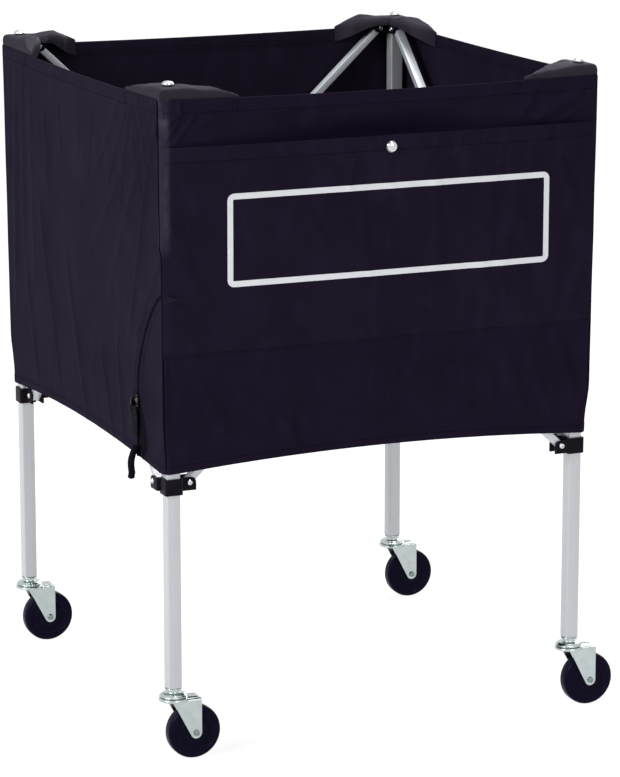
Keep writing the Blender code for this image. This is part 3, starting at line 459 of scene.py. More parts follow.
stem_profile = [
    (0.0003, near_low.z + 0.040), (STEM_R - 0.001, near_low.z + 0.040), (STEM_R, near_low.z + 0.039),
    (STEM_R, COLLAR_TOP), (COLLAR_R - 0.0004, COLLAR_TOP), (COLLAR_R, COLLAR_TOP - 0.0004),
    (COLLAR_R, COLLAR_TOP - 0.0016), (COLLAR_R - 0.0004, COLLAR_TOP - 0.0020),
    (NECK_R + 0.0008, COLLAR_TOP - 0.0022), (NECK_R, COLLAR_TOP - 0.0028),
    (NECK_R, CUP_TOP + 0.0012), (NECK_R + 0.0006, CUP_TOP + 0.0004),
    (NECK_R + 0.0018, CUP_TOP), (CUP_R * 0.76, CUP_TOP - 0.0002), (CUP_R * 0.86, CUP_TOP - 0.0010),
    (CUP_R * 0.90, CUP_TOP - 0.0024), (CUP_R * 0.94, CUP_TOP - 0.0030), (CUP_R * 0.985, CUP_TOP - 0.0034),
    (CUP_R, CUP_TOP - 0.0040), (CUP_R, CUP_LOW + 0.0017), (CUP_R - 0.0005, CUP_LOW + 0.0012),
    (CUP_R * 0.87, CUP_LOW + 0.0012), (CUP_R * 0.87, CUP_LOW), (KINGPIN_R, CUP_LOW),
    (KINGPIN_R, FORK_PLATE_Z - 0.0003), (KINGPIN_HEAD_R, FORK_PLATE_Z - 0.0003),
    (KINGPIN_HEAD_R * 0.9, FORK_PLATE_Z - 0.0015), (KINGPIN_HEAD_R * 0.5, FORK_PLATE_Z - 0.0023),
    (0.0003, FORK_PLATE_Z - 0.0023),
]
STEM = turned(stem_profile, ROUND_CUTS, PRESSED_SHARP)


def spread(low, high, count, extra=()):
    """Evenly spread values with some more between them."""
    values = [low + (high - low) * i / count for i in range(count + 1)]
    return sorted(set(values) | {v for v in extra if low < v < high})


def cheek_shell():
    """The fork: an arch-shaped section across, lofted from its front edge to its rear edge, with the
    cheeks' lower edge following the outline. In front of a crease the cheeks flare out to the race."""
    tip = Vector((TRAIL, WHEEL_R))
    front = Vector((FORK_FRONT, FORK_PLATE_Z + 0.0005))
    run = front - tip
    start = math.atan2(run.y, run.x) + math.acos(FORK_TIP_R / run.length)
    touch = (tip.x + FORK_TIP_R * math.cos(start), tip.y + FORK_TIP_R * math.sin(start))

    def foot(x):
        if x < touch[0]:
            share = (x - front.x) / (touch[0] - front.x)
            return front.y + (touch[1] - front.y) * share
        return tip.y - math.sqrt(max(FORK_TIP_R ** 2 - (x - tip.x) ** 2, 0.0))

    stations = spread(front.x, touch[0], 14, [CREASE_X])
    left = touch[0] - tip.x
    for i in range(1, 25):
        round_tip = (FORK_TIP_R - left) * (1 - math.cos(math.pi * i / 24)) / 2
        stations.append(tip.x + left + round_tip)
    outer_grid = []
    inner_grid = []
    for x in stations:
        low = min(foot(x), FORK_PLATE_Z)
        outer = [(FORK_OUT, low)]
        inner = [(FORK_IN, low)]
        drop = FORK_TOP - FORK_BEND - low
        for i in range(1, 9):
            outer.append((FORK_OUT, low + drop * i / 8))
            inner.append((FORK_IN, low + (FORK_PLATE_Z - FORK_BEND_IN - low) * i / 8))
        for i in range(1, 7):
            turn = QUARTER * i / 6
            across = 1 - math.cos(turn)
            down = 1 - math.sin(turn)
            outer.append((FORK_OUT - FORK_BEND * across, FORK_TOP - FORK_BEND * down))
            inner.append((FORK_IN - FORK_BEND_IN * across, FORK_PLATE_Z - FORK_BEND_IN * down))
        bend_out = outer[-1][0]
        bend_in = inner[-1][0]
        for i in range(1, 6):
            outer.append((bend_out * (1 - i / 5), FORK_TOP))
            inner.append((bend_in * (1 - i / 5), FORK_PLATE_Z))
        flare = 1 + FORK_FLARE / FORK_OUT * max(CREASE_X - x, 0.0) / (CREASE_X - FORK_FRONT)
        for row, grid in ((outer, outer_grid), (inner, inner_grid)):
            whole = [(x, -y * flare, z) for y, z in row] + [(x, y * flare, z) for y, z in reversed(row[:-1])]
            grid.append(whole)
    return outer_grid, inner_grid


def shell(outer, inner, sharp):
    """A closed sheet between two grids of points of the same size."""
    rows = len(outer)
    columns = len(outer[0])
    points = [p for grid in (outer, inner) for row in grid for p in row]
    back = rows * columns
    faces = []
    for r in range(rows - 1):
        for c in range(columns - 1):
            a = r * columns + c
            faces.append((a, a + 1, a + columns + 1, a + columns))
            faces.append((a + columns + back, a + columns + 1 + back, a + 1 + back, a + back))
    rim = list(range(columns))
    rim += [r * columns + columns - 1 for r in range(1, rows)]
    rim += [(rows - 1) * columns + c for c in range(columns - 2, -1, -1)]
    rim += [r * columns for r in range(rows - 2, 0, -1)]
    for a, b in zip(rim, rim[1:] + rim[:1]):
        faces.append((a, b, b + back, a + back))
    return mesh_of(points, faces, sharp)


RACE_TOP = FORK_TOP + RACE_LIP
race_profile = [
    (KINGPIN_R + 0.0004, FORK_TOP - 0.0016), (KINGPIN_R + 0.0004, RACE_TOP), (RACE_R - 0.0026, RACE_TOP),
    (RACE_R - 0.0012, RACE_TOP - 0.0004), (RACE_R - 0.0003, RACE_TOP - 0.0014), (RACE_R, RACE_TOP - 0.0026),
    (RACE_R, FORK_TOP - 0.0010), (RACE_R - 0.0005, FORK_TOP - 0.0016),
]
RACE = turned(race_profile, ROUND_CUTS, PRESSED_SHARP, "joined")
pad_outline = rounded(0.0115, 0.0105, 0.0060, 6)
PAD = lofted([
    [(PAD_X + x * share, y * share, FORK_TOP + rise) for x, y in pad_outline]
    for share, rise in ((1.0, -0.0006), (1.0, 0.0002), (0.96, 0.0010), (0.90, 0.0013))
], PRESSED_SHARP)
FORK = combined(shell(*cheek_shell(), MACHINED_SHARP), RACE, PAD)

axle_profile = [
    (LEAST_R, -FORK_OUT - 0.0016), (0.0022, -FORK_OUT - 0.0016, 1), (0.0024, -FORK_OUT - 0.0023, 1),
    (0.0031, -FORK_OUT - 0.0023), (0.0042, -FORK_OUT - 0.0014), (0.0045, -FORK_OUT - 0.0003),
    (AXLE_R, -FORK_OUT - 0.0003), (AXLE_R, FORK_OUT + 0.0003), (0.0048, FORK_OUT + 0.0003, 1),
    (0.0052, FORK_OUT + 0.0006, 1), (0.0052, FORK_OUT + 0.0028, 1), (0.0046, FORK_OUT + 0.0033, 1),
    (AXLE_R, FORK_OUT + 0.0033), (AXLE_R - 0.0004, FORK_OUT + 0.0041), (LEAST_R, FORK_OUT + 0.0041),
]
AXLE = moved(turned(axle_profile, AXLE_CUTS, MACHINED_SHARP), INWARD)

wheel_side = [(AXLE_R + 0.0003, HUB_HALF), (0.0080, HUB_HALF), (0.0092, HUB_HALF - 0.0006)]
for radius, below in (
    (0.0096, 0.0004), (0.0105, 0.0010), (0.0188, 0.0010), (0.0194, 0.0002), (0.0200, 0.0002),
    (0.0206, 0.0009), (0.0290, 0.0008), (0.0296, 0.0), (0.0303, 0.0), (0.0310, 0.0006),
    (0.0345, 0.0008), (0.0361, 0.0018), (0.0369, 0.0034), (0.0372, 0.0042), (0.0374, 0.0048),
    (WHEEL_R, 0.0060),
):
    wheel_side.append((radius, TREAD_HALF - below))
wheel_profile = [(r, -y) for r, y in wheel_side] + [(r, y) for r, y in reversed(wheel_side)]
WHEEL = moved(turned(wheel_profile, WHEEL_CUTS, WHEEL_SHARP, "joined"), INWARD)


def hard_rubber():
    """Black rubber, moulded smooth, with a little dust in patches."""
    finish = Finish("hard_rubber", IOR=1.13)
    dust = finish.ramp(finish.clouds(90.0, detail=5.0), 0.52, 0.80)
    fine = finish.clouds(1500.0, detail=2.0)
    tone = finish.colours(dust, (0.0040, 0.0024, 0.0145), (0.0080, 0.0062, 0.0185))
    return finish.vary(Base_Color=tone, Roughness=0.30 + dust * 0.2, Normal=finish.relief(fine, 0.00003))


RUBBER = hard_rubber()
for k, corner in enumerate(CORNERS):
    upright = Matrix.Translation(at_leg(k).translation)
    hub = upright @ Matrix.Translation((TRAIL, 0, WHEEL_R))
    fork = f"fork_{corner}"
    wheel = f"wheel_{corner}"
    piece(f"stem_{corner}", STEM.copy(), ZINC, "zinc", upright, f"leg_{corner}", f"caster_stem_{corner}")
    piece(f"fork_sheet_{corner}", FORK.copy(), ZINC, "zinc", upright, fork, f"caster_fork_{corner}")
    piece(f"axle_{corner}", AXLE.copy(), BOLT_ZINC_PAINTED_SHADE, "zinc", hub, fork, f"axle_bolt_{corner}")
    piece(f"tyre_{corner}", WHEEL.copy(), RUBBER, "black_rubber", hub, wheel, wheel)


# Bag sides. Four panels of coated nylon cloth, turned over twice and double-stitched at the rim and
# once at the foot, and sewn to each other at the corners, where the seams pull in.
RIM_HALF = 0.3198
HEM_HALF = 0.3160
RIM_Z = 0.901
RIM_SAG = 0.003
HEM_Z = 0.400
HEM_RISE = 0.013
CLOTH = 0.0012
RIM_BAND = 0.021
HEM_BAND = 0.012
BAND_RAISE = 0.0006
BAND_INSIDE = 1.4             # how much more the bands stand out inside
SEAM_TURN = 0.003
STEP_HALF = 0.0008            # half the step at the edge of a band
TURNED_EDGE = 0.0004
EDGE_REACH = 0.0012
NEAR_EDGE = (0.0008, 0.0020)
NEAR_SEAM = (0.0004, 0.0010, 0.0017, 0.0025, 0.0033, 0.005, 0.008, 0.011)
SEWN_SHARP = 75               # degrees, for sewn cloth, thread and print, and stiff cloth
SOFT_SHARP = 80
STIFF_SHARP = 60
RECESS_TOP = 0.884
RECESS_REACH = 0.215
RECESS_DEPTH = 0.012
RECESS_UNDER = 0.038          # how far it goes on below the pocket's mouth
RECESS_RISE = 0.030
RECESS_NARROWS = 0.022        # from so far above the mouth it gets narrower
POCKET_TOP = 0.8385
POCKET_BOTTOM = 0.559
DRAPE = 0.0032                # height and pitch of the upright folds
DRAPE_PITCH = 0.17
DRAPE_PHASES = (0.6, 2.1)     # of the right side and the back, in radians
ZIP_LINE = 0.225
ZIP_CLEAR = 0.035             # the upright folds end so far from the zip
PANEL_BODY = ("leg_front_left", "leg_front_right", "leg_back_left", "leg_front_left")


def half_at(z):
    """Half the bag's width at a height."""
    return HEM_HALF + (RIM_HALF - HEM_HALF) * (z - HEM_Z) / (RIM_Z - HEM_Z)


def rim_at(x):
    return RIM_Z - RIM_SAG * (1 - (x / RIM_HALF) ** 2)


def hem_at(x):
    return HEM_Z + HEM_RISE * (1 - (x / HEM_HALF) ** 2)


def ease(share):
    share = max(0.0, min(1.0, share))
    return share * share * (3 - 2 * share)


def ridge(distance, reach):
    """The section of a soft fold: 1 on its line, 0 from its reach on."""
    share = min(abs(distance) / reach, 1.0)
    return (1 - share * share) ** 2


def mix(a, b, share):
    return a + (b - a) * share


def crease(x, z, start, end, reach, height, crisp):
    """A fold along a straight line, that fades at both ends. A crisp one has a sharp crest."""
    run_x = end[0] - start[0]
    run_z = end[1] - start[1]
    length = math.hypot(run_x, run_z)
    along = ((x - start[0]) * run_x + (z - start[1]) * run_z) / length / length
    if not -0.2 < along < 1.2:
        return 0.0
    off = ((x - start[0]) * run_z - (z - start[1]) * run_x) / length
    if abs(off) > reach:
        return 0.0
    fade = ease((along + 0.1) / 0.3) * ease((1.1 - along) / 0.3)
    share = abs(off) / reach
    return height * fade * mix(ridge(off, reach), (1 - share) ** 2, crisp)


def folds(*rows):
    """A table of folds in a side's own frame. Each row has from where to where it runs (x, z, x, z) in
    millimetres, its reach and its height out of the cloth in tenths of one, and how crisp it is."""
    made = []
    for from_x, from_z, to_x, to_z, reach, height, crisp in rows:
        start = (from_x / 1000, from_z / 1000)
        end = (to_x / 1000, to_z / 1000)
        made.append((start, end, reach / 10000, height / 10000, crisp))
    return made


def folded(x, z, table):
    """How far all the folds of a table stand out of the cloth at a point."""
    return sum(crease(x, z, *fold) for fold in table)


# The folds of the front, the left side and the pocket are measured on the photograph. Those of the right
# side and the back are made up.
FOLD_GAIN = 1.35              # they look higher in the photograph than first measured
FRONT_FOLDS = folds(
    (-292, 899, -291, 880, 60, 18, 0.8), (-290, 881, -316, 866, 60, 20, 0.8),
    (-270, 880, -300, 842, 70, 20, 0.8), (-292, 872, -312, 846, 50, 14, 0.8),
    (-236, 878, -280, 858, 90, 12, 0.5), (-180, 874, -120, 882, 100, 10, 0.5),
    (300, 885, 225, 845, 120, 22, 0.3), (306, 862, 262, 842, 80, 14, 0.3),
    (232, 899, 205, 852, 100, 16, 0.3), (-262, 520, -225, 440, 140, 16, 0.3),
    (-150, 470, -120, 425, 120, 12, 0.3), (-30, 425, 60, 440, 140, 14, 0.3),
    (180, 540, 215, 440, 160, 17, 0.6), (110, 552, 108, 520, 60, -8, 0.3),
    (262, 548, 300, 430, 140, 18, 0.6), (230, 500, 262, 420, 100, 14, 0.7),
    (120, 470, 160, 420, 100, 13, 0.7), (20, 550, -10, 470, 180, 8, 0.3),
)
LEFT_FOLDS = folds(
    (226, 882, 222, 790, 50, 17, 0.9), (236, 882, 246, 760, 45, 15, 0.9),
    (250, 880, 276, 770, 45, 16, 0.9), (213, 882, 168, 740, 55, 20, 0.9),
    (200, 880, 120, 760, 60, 15, 0.9), (264, 882, 296, 800, 45, 14, 0.9),
    (278, 886, 306, 820, 45, 14, 0.9), (242, 898, 244, 884, 40, 12, 0.9),
    (262, 898, 268, 884, 40, 12, 0.9), (284, 898, 294, 882, 40, 12, 0.9),
    (170, 882, 60, 760, 95, 12, 0.6), (296, 900, 314, 850, 70, 16, 0.6),
    (300, 868, 190, 560, 120, 18, 0.5), (308, 872, 232, 700, 80, 14, 0.6),
    (285, 880, 120, 620, 140, 16, 0.4), (262, 876, 30, 640, 160, 14, 0.4),
    (60, 860, 40, 740, 60, 11, 0.8), (0, 850, 20, 700, 60, 10, 0.8),
    (-80, 868, -70, 760, 60, 11, 0.8), (-140, 840, -120, 700, 70, 12, 0.8),
    (-290, 870, -300, 700, 70, 14, 0.8), (315, 690, 215, 560, 140, 28, 0.7),
    (235, 575, 190, 440, 150, 22, 0.6), (145, 560, 165, 420, 120, 18, 0.7),
    (80, 540, 122, 414, 100, 19, 0.8), (40, 500, 66, 416, 80, 13, 0.8),
    (-60, 660, 16, 418, 130, 20, 0.8), (-160, 700, -92, 424, 130, 20, 0.8),
    (-130, 520, -110, 420, 80, 12, 0.8), (-236, 600, -190, 420, 120, 18, 0.7),
    (-200, 860, -190, 560, 140, 12, 0.3), (-262, 880, -285, 520, 140, 18, 0.3),
    (-235, 880, -240, 620, 120, 14, 0.3),
)
OTHER_FOLDS = folds(
    (-280, 880, -180, 620, 160, 16, 0.3), (-255, 880, -80, 690, 160, 12, 0.3),
    (285, 880, 200, 600, 160, 16, 0.3), (250, 880, 60, 700, 180, 12, 0.3),
    (-100, 600, -110, 420, 160, 14, 0.3), (50, 580, 60, 425, 160, 14, 0.3),
    (180, 520, 200, 420, 140, 16, 0.3), (-240, 540, -250, 420, 160, 14, 0.3),
)


def swell(x, z, low, high, phase):
    """Upright folds that stand out between two places along a side, and fade at rim and hem."""
    across = ridge(x - (low + high) / 2, (high - low) / 2)
    along = ridge(z - (RIM_Z + HEM_Z) / 2 - 0.02, (RIM_Z - HEM_Z) / 2 - 0.02)
    return DRAPE * across * along * (0.5 + 0.5 * math.cos(2 * math.pi * x / DRAPE_PITCH + phase))


GRAIN = 0.0009                # height of the cloth's own unevenness
FINE_GRAIN = 0.00022
LOOSE_RIM = 0.05              # how far from the rim and the hem the cloth is loose
LOOSE_HEM = 0.03
LIP_MIDDLE = 0.0050           # the raised lip beside a seam
LIP_REACH = 0.0040
SEAM_LIP = 0.0007
SEAM_DIP = 0.0022
STRIP_FOOT = 0.690
STRIP_WIDTH = 0.0125
STRIP_FACETS = ((0.009, 0.712, 0.026), (0.014, 0.889, 0.018), (0.007, 0.853, 0.014))
STRIP_DEPTH = 0.0070
ROUND_TOP = 0.475
ROUND_DEPTH = 0.0045
ROUND_WIDTH = 0.016


def strip_depth(z):
    """How far the front's left edge is drawn in above the zip's end."""
    return STRIP_DEPTH * ease((z - STRIP_FOOT) / 0.020)


def rounding(z):
    """How far all four corners are drawn in towards the foot, which makes them round."""
    return ROUND_DEPTH * ease((ROUND_TOP - z) / 0.07)


def corner_pull(x, z):
    """How far the front is drawn in beside the left seam: a flat strip that faces half to the left,
    and is wider at a few facets."""
    width = STRIP_WIDTH + sum(wider * ridge(z - middle, reach) for wider, middle, reach in STRIP_FACETS)
    share = (x + half_at(z)) / width
    if share >= 1:
        return 0.0
    return strip_depth(z) * (1 - share) ** 1.1


def recess(x, z):
    """How far the front leans in behind the pocket's open mouth, clear of the bars."""
    fall = ease((RECESS_TOP - z) / (RECESS_TOP - POCKET_TOP))
    rise = ease((z - POCKET_TOP + RECESS_UNDER) / RECESS_RISE)
    return RECESS_DEPTH * fall * rise * ridge(x, RECESS_REACH - max(POCKET_TOP + RECESS_NARROWS - z, 0.0))


def out_of_plane(side, x, z):
    """How far a side's cloth stands out of its plane."""
    grain = noise.noise(Vector((x * 9 + side * 7, z * 3.2, side * 3.1)))
    fine = noise.noise(Vector((x * 34 + side * 11, z * 17, side * 5.7)))
    loose = ease((rim_at(x) - z) / LOOSE_RIM) * ease((z - hem_at(x)) / LOOSE_HEM)
    out = GRAIN * grain * loose + FINE_GRAIN * fine
    if side == 0:
        under = ease((z - POCKET_BOTTOM + 0.01) / 0.01) * ease((POCKET_TOP + 0.002 - z) / 0.012)
        out += FOLD_GAIN * folded(x, z, FRONT_FOLDS)
        out *= 1 - under
        out -= recess(x, z) + corner_pull(x, z)
    elif side == 3:
        out += swell(x, z, -RIM_HALF, ZIP_LINE - ZIP_CLEAR, 0.0)
        out += FOLD_GAIN * folded(x, z, LEFT_FOLDS)
    else:
        out += swell(x, z, -RIM_HALF, RIM_HALF, DRAPE_PHASES[side - 1])
        hand = 1 if side == 1 else -1
        out += folded(x * hand, z, OTHER_FOLDS)
    end = half_at(z) - rounding(z)
    turn = max(abs(x) - end + ROUND_WIDTH, 0.0) / ROUND_WIDTH
    seam = max(abs(x) - end + SEAM_TURN, 0.0) / SEAM_TURN
    lip = SEAM_LIP * ridge(end - abs(x) - LIP_MIDDLE, LIP_REACH)
    return out + lip - rounding(z) * turn * turn - SEAM_DIP * seam * seam


def band_raise(x, z):
    """The turned-over cloth at the rim and the foot is thicker."""
    rim = ease((z - rim_at(x) + RIM_BAND + STEP_HALF) / (2 * STEP_HALF))
    hem = ease((hem_at(x) + HEM_BAND + STEP_HALF - z) / (2 * STEP_HALF))
    return BAND_RAISE * max(rim, hem)


def skin(side, x, z):
    """The outer face of a side's cloth, as the Y of its point."""
    return -half_at(z) - out_of_plane(side, x, z) - band_raise(x, z)


def sheet(rows, columns, pair, sharp):
    """A closed sheet. Pair gives a point of its outer and of its inner face for a row and a column."""
    grid = [[pair(row, column) for column in columns] for row in rows]
    outer, inner = ([[points[face] for points in row] for row in grid] for face in (0, 1))
    return shell(outer, inner, sharp)


def side_mesh(side, inset):
    """A side's cloth. Inset draws its upright edges in, so that two sides stand inside the others. The
    rows and columns are closer at hems and seams, and where the front and the left side are pleated."""
    rise = RIM_Z - HEM_Z
    near_rim = [1 - d / rise for d in (*NEAR_EDGE, RIM_BAND - STEP_HALF, RIM_BAND, RIM_BAND + STEP_HALF)]
    near_hem = [d / rise for d in (*NEAR_EDGE, HEM_BAND - STEP_HALF, HEM_BAND, HEM_BAND + STEP_HALF)]
    near_seam = [1 - d / RIM_HALF for d in NEAR_SEAM]
    fan = [0.62 + 0.34 * i / 64 for i in range(65)] if side in (0, 3) else []
    pleats = [0.34 + 0.64 * i / 96 for i in range(97)] if side == 3 else []
    facets = [-0.80 - 0.18 * i / 36 for i in range(37)] if side == 0 else []

    def pair(share, run):
        low = hem_at(run * HEM_HALF)
        z = low + share * (rim_at(run * RIM_HALF) - low)
        x = run * (half_at(z) - inset - rounding(z))
        if side == 3 and run > 0:
            x -= strip_depth(z) * run
        y = skin(side, x, z)
        fold = TURNED_EDGE * (ridge(z - rim_at(x), EDGE_REACH) + ridge(z - hem_at(x), EDGE_REACH))
        return (x, y + fold, z), (x, y + CLOTH + BAND_INSIDE * band_raise(x, z) - fold, z)

    shares = spread(0.0, 1.0, 120, near_rim + near_hem + fan)
    runs = spread(-1.0, 1.0, 140, near_seam + [-v for v in near_seam] + pleats + facets)
    return sheet(shares, runs, pair, SEWN_SHARP)


WARP = 9000.0                 # radians of the weave in a metre
WEFT = 8200.0


def coated_nylon(name, deep, light, coat=0.085, edge=None):
    """Near-black plain-weave cloth with a faint coating: fine crossing threads, a soft bloom, and
    paler rubbed patches. An edge colour is a painted sheen on its drawn-in left edge."""
    finish = Finish(name, IOR=1.02, Coat_Weight=coat, Coat_IOR=1.5, Coat_Roughness=0.60)
    x, y, z = (finish.node("SeparateXYZ", {}, {0: finish.point()}, output=k) for k in range(3))
    across = finish.maths("SINE", (x + y * 0.8) * WARP)
    up = finish.maths("SINE", (z + y * 0.5) * WEFT)
    weave = across * up * 0.5 + 0.5
    slub = finish.clouds(1.0, (1400, 1400, 160), 2.0)
    bloom = finish.clouds(14.0, detail=5.0)
    rubbed = finish.ramp(finish.clouds(48.0, (1, 1, 0.45), 4.0), 0.50, 0.74)
    tone = finish.colours(bloom * 0.55 + rubbed * 0.25 + slub * 0.20, deep, light)
    # Painted sheen: the edge colour lightens the front's drawn-in left edge above the zip's end, as a lamp's
    # light glancing off it would.
    if edge:
        drawn = finish.ramp(x, -HEM_HALF + STRIP_WIDTH * 1.1, -HEM_HALF + STRIP_WIDTH * 0.3)
        worn = drawn * finish.ramp(z, STRIP_FOOT, STRIP_FOOT + 0.02) * (0.35 + rubbed * 0.65)
        tone = finish.colours(worn, tone, edge)
    height = weave * 0.6 + slub * 0.4
    return finish.vary(Base_Color=tone, Roughness=0.56 + weave * 0.08 + rubbed * 0.10,
                       Normal=finish.relief(height, 0.00007))


# One cloth in two colours: the copy for the sides, the floor and the welts is paler and greyer, a painted
# sheen of the lamps at the left, and the front's copy is darker and more purple, painted shade.
BAG_CLOTH_PAINTED_SHEEN = coated_nylon("bag_cloth_painted_sheen", (0.0060, 0.0036, 0.0106), (0.0196, 0.0140, 0.0290))
# A paler, greyer colour for the front's drawn-in left edge: painted sheen.
PAINTED_EDGE_SHEEN = (0.048, 0.041, 0.060)
FRONT_CLOTH_PAINTED_SHADE = coated_nylon("front_cloth_painted_shade", (0.0050, 0.0024, 0.0098), (0.0152, 0.0092, 0.0262), edge=PAINTED_EDGE_SHEEN)


def gathered(cloth):
    """Gives a piece a mesh of its own."""
    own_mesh(cloth)


for k, side in enumerate(SIDES):
    inset = 0.0 if k % 2 == 0 else CLOTH + 0.0003
    cloth = FRONT_CLOTH_PAINTED_SHADE if k == 0 else BAG_CLOTH_PAINTED_SHEEN
    panel = piece(f"bag_side_{side}", side_mesh(k, inset), cloth, "black_cloth", facing(k), PANEL_BODY[k],
                  f"bag_{side}")
    gathered(panel)


# Bag floor. Four triangles of the same cloth, hemmed, that are sewn along the foot of the sides and
# fold up as the cart closes. They are narrower at the seam, where the bars pass.
FLOOR_Z = 0.418
FLOOR_CLOTH = 0.0015
FLOOR_DIP = 0.0008
FLOOR_HEM = 0.010
FLOOR_HEM_RAISE = 0.0003
FLOOR_SEAM = 0.0001           # between two triangles, from the mitre line
STEP_CLEAR = 0.003            # from the bars, inwards and along the side
BAR_CLEAR = 0.006


def floor_mesh(side):
    """A triangle in rows that get shorter from the seam to the cart's middle."""
    reach = half_at(FLOOR_Z) - CLOTH - 0.0003
    step = HALF - BAR_PLANE - BAR_DEPTH / 2 - STEP_CLEAR
    bar_edge = PIVOT_REACH + (FLOOR_Z + FLOOR_CLOTH - LOW_PIVOT_Z) / math.tan(BAR_SLOPE)
    bar_edge += BAR_WIDTH / 2 / math.sin(BAR_SLOPE)
    narrow = HALF - bar_edge - BAR_CLEAR
    rows = [(reach, narrow), (reach - 0.004, narrow), (reach - 0.010, narrow), (reach - 0.016, narrow),
            (step + 0.0004, narrow), (step, step - FLOOR_SEAM)]
    rows += [(step * (1 - i / 40), step * (1 - i / 40) - FLOOR_SEAM) for i in range(1, 40)]

    def pair(row, run):
        out, half = row
        x = half * run
        edge = min(half - abs(x), out, reach - out)
        dip = FLOOR_DIP * noise.noise(Vector((x * 11, -out * 11, side * 4.0))) * ease(edge / 0.03)
        hem = FLOOR_HEM_RAISE * ease((FLOOR_HEM - edge) / 0.001)
        return (x, -out, FLOOR_Z + FLOOR_CLOTH + dip + hem), (x, -out, FLOOR_Z + dip)

    return sheet(rows, [i / 30 - 1 for i in range(61)], pair, STIFF_SHARP)


for k, side in enumerate(SIDES):
    flap = piece(f"floor_cloth_{side}", floor_mesh(k), BAG_CLOTH_PAINTED_SHEEN, "black_cloth", facing(k), f"floor_{side}",
                 f"floor_{side}")
    gathered(flap)


# Hoods. A piece of the same cloth covers each top bracket: it is sewn into the rim, wrapped over the
# bracket and stitched down at both ends, and a snap holds its middle.
HOOD_SHORT = 0.092
HOOD_LONG = 0.1085
HOOD_TOP = 0.9164
HOOD_SHOULDERS = (0.9128, 0.9128, 0.9190, 0.9190)   # the front hoods fall away straight
HOOD_SHOULDER_AT = 0.055
HOOD_FLAT = 0.016
HOOD_END_WIDTH = 0.0026
HOOD_END_RISE = 0.0023
HOOD_ARCH_Z = 0.905
HOOD_ARCH_HALF = 0.036
HOOD_DROP_Z = 0.8805
HOOD_SLACK = 0.0026
HOOD_FOLD = 0.0019
HOOD_FOLD_REACH = 0.010
HOOD_FOLDS = ((0.033, 0.058), (0.070, 0.052))   # where they meet the lower edge and the top
HOOD_STEPS = 4
HOOD_CUTS = 36
HOOD_SHARP = 70


def hood_section(out, arm, shoulder):
    """The hood's section at a distance from the leg along one arm, as (inward, height) points of the
    middle of the cloth, from the rim over the top to the inner lower edge."""
    end = ease((out - HOOD_ARCH_HALF) / (arm - HOOD_ARCH_HALF))
    rim = rim_at(HALF - out) + 0.0003
    inner = mix(RIM_HALF - HALF + BAR_PLANE + EARS_HALF + 0.0014, HOOD_END_WIDTH, end)
    top_end = rim - 0.0003 + HOOD_END_RISE
    if out < HOOD_SHOULDER_AT:
        top = mix(HOOD_TOP, shoulder, ease((out - HOOD_FLAT) / (HOOD_SHOULDER_AT - HOOD_FLAT)))
    else:
        top = mix(shoulder, top_end, (out - HOOD_SHOULDER_AT) / (arm - HOOD_SHOULDER_AT))
    low = mix(HOOD_ARCH_Z, HOOD_DROP_Z, end)
    rise = top - rim
    outer = CLOTH / 2
    return [
        (outer + 0.0018, rim - 0.0024),
        (outer + 0.0007, rim + 0.12 * rise),
        (mix(outer + 0.0014, outer + 0.0006, end), rim + 0.70 * rise),
        (mix(outer + 0.0070, outer + 0.0009, end), top - mix(0.0006, 0.0001, end)),
        (mix(inner - 0.0075, outer + 0.0014, end), top),
        (inner - mix(0.0012, 0.0003, end), top - mix(0.0062, 0.0014, end)),
        (inner, low),
    ]


def smoothed(points, steps):
    """More points along a row, on a curve through them."""
    made = []
    for i in range(len(points) - 1):
        before = Vector(points[max(i - 1, 0)])
        a = Vector(points[i])
        b = Vector(points[i + 1])
        after = Vector(points[min(i + 2, len(points) - 1)])
        for step in range(steps):
            t = step / steps
            cubic = 2 * a + (b - before) * t + (2 * before - 5 * a + 4 * b - after) * t * t
            cubic += (3 * a - before - 3 * b + after) * t * t * t
            made.append(tuple(cubic * 0.5))
    made.append(tuple(points[-1]))
    return made


def hood_rows(front_arm, side_arm, shoulder):
    """The cloth over a top bracket: an arm along each side and a mitre at the bag's corner. The rows are
    closer at the corner."""
    overhang = RIM_HALF - HALF
    mitre = smoothed([(i - overhang, 0.0) for i, _ in hood_section(0.0, front_arm, shoulder)], HOOD_STEPS)
    shares = [(i / HOOD_CUTS) ** 1.25 for i in range(HOOD_CUTS + 1)]
    rows = []
    for along_front, arm, order in ((False, side_arm, shares[::-1]), (True, front_arm, shares[1:])):
        for share in order:
            row = []
            for column, (corner, _) in enumerate(mitre):
                out = mix(corner, arm, share)
                inward, z = smoothed(hood_section(out, arm, shoulder), HOOD_STEPS)[column]
                across = column / (len(mitre) - 1)
                uneven = noise.noise(Vector((out * 30, inward * 60, 3.0 if along_front else 8.0)))
                slack = HOOD_SLACK * uneven
                z += slack * math.sin(math.pi * across) * ease((out - 0.010) / 0.02)
                for low_at, top_at in HOOD_FOLDS:
                    off = abs(out - mix(top_at, low_at, across)) / HOOD_FOLD_REACH
                    inward += HOOD_FOLD * max(0.0, 1 - off) * ease((across - 0.5) / 0.2)
                row.append((out, inward - overhang, z) if along_front else (inward - overhang, out, z))
            rows.append(row)
    return rows


def thickened(rows):
    """A closed sheet about a grid of points that are the middle of the cloth."""
    middle = []
    columns = len(rows[0])
    for r, row in enumerate(rows):
        for c, point in enumerate(row):
            down = Vector(rows[min(r + 1, len(rows) - 1)][c]) - Vector(rows[max(r - 1, 0)][c])
            along = Vector(row[min(c + 1, columns - 1)]) - Vector(row[max(c - 1, 0)])
            normal = down.cross(along)
            out = normal.normalized() if normal.length > 1e-12 else Vector((0, 0, 1))
            middle.append((Vector(point), out))
    grids = []
    for hand in (1, -1):
        flat = [tuple(point + out * hand * CLOTH / 2) for point, out in middle]
        grids.append([flat[r * columns:(r + 1) * columns] for r in range(len(rows))])
    return shell(*grids, HOOD_SHARP)
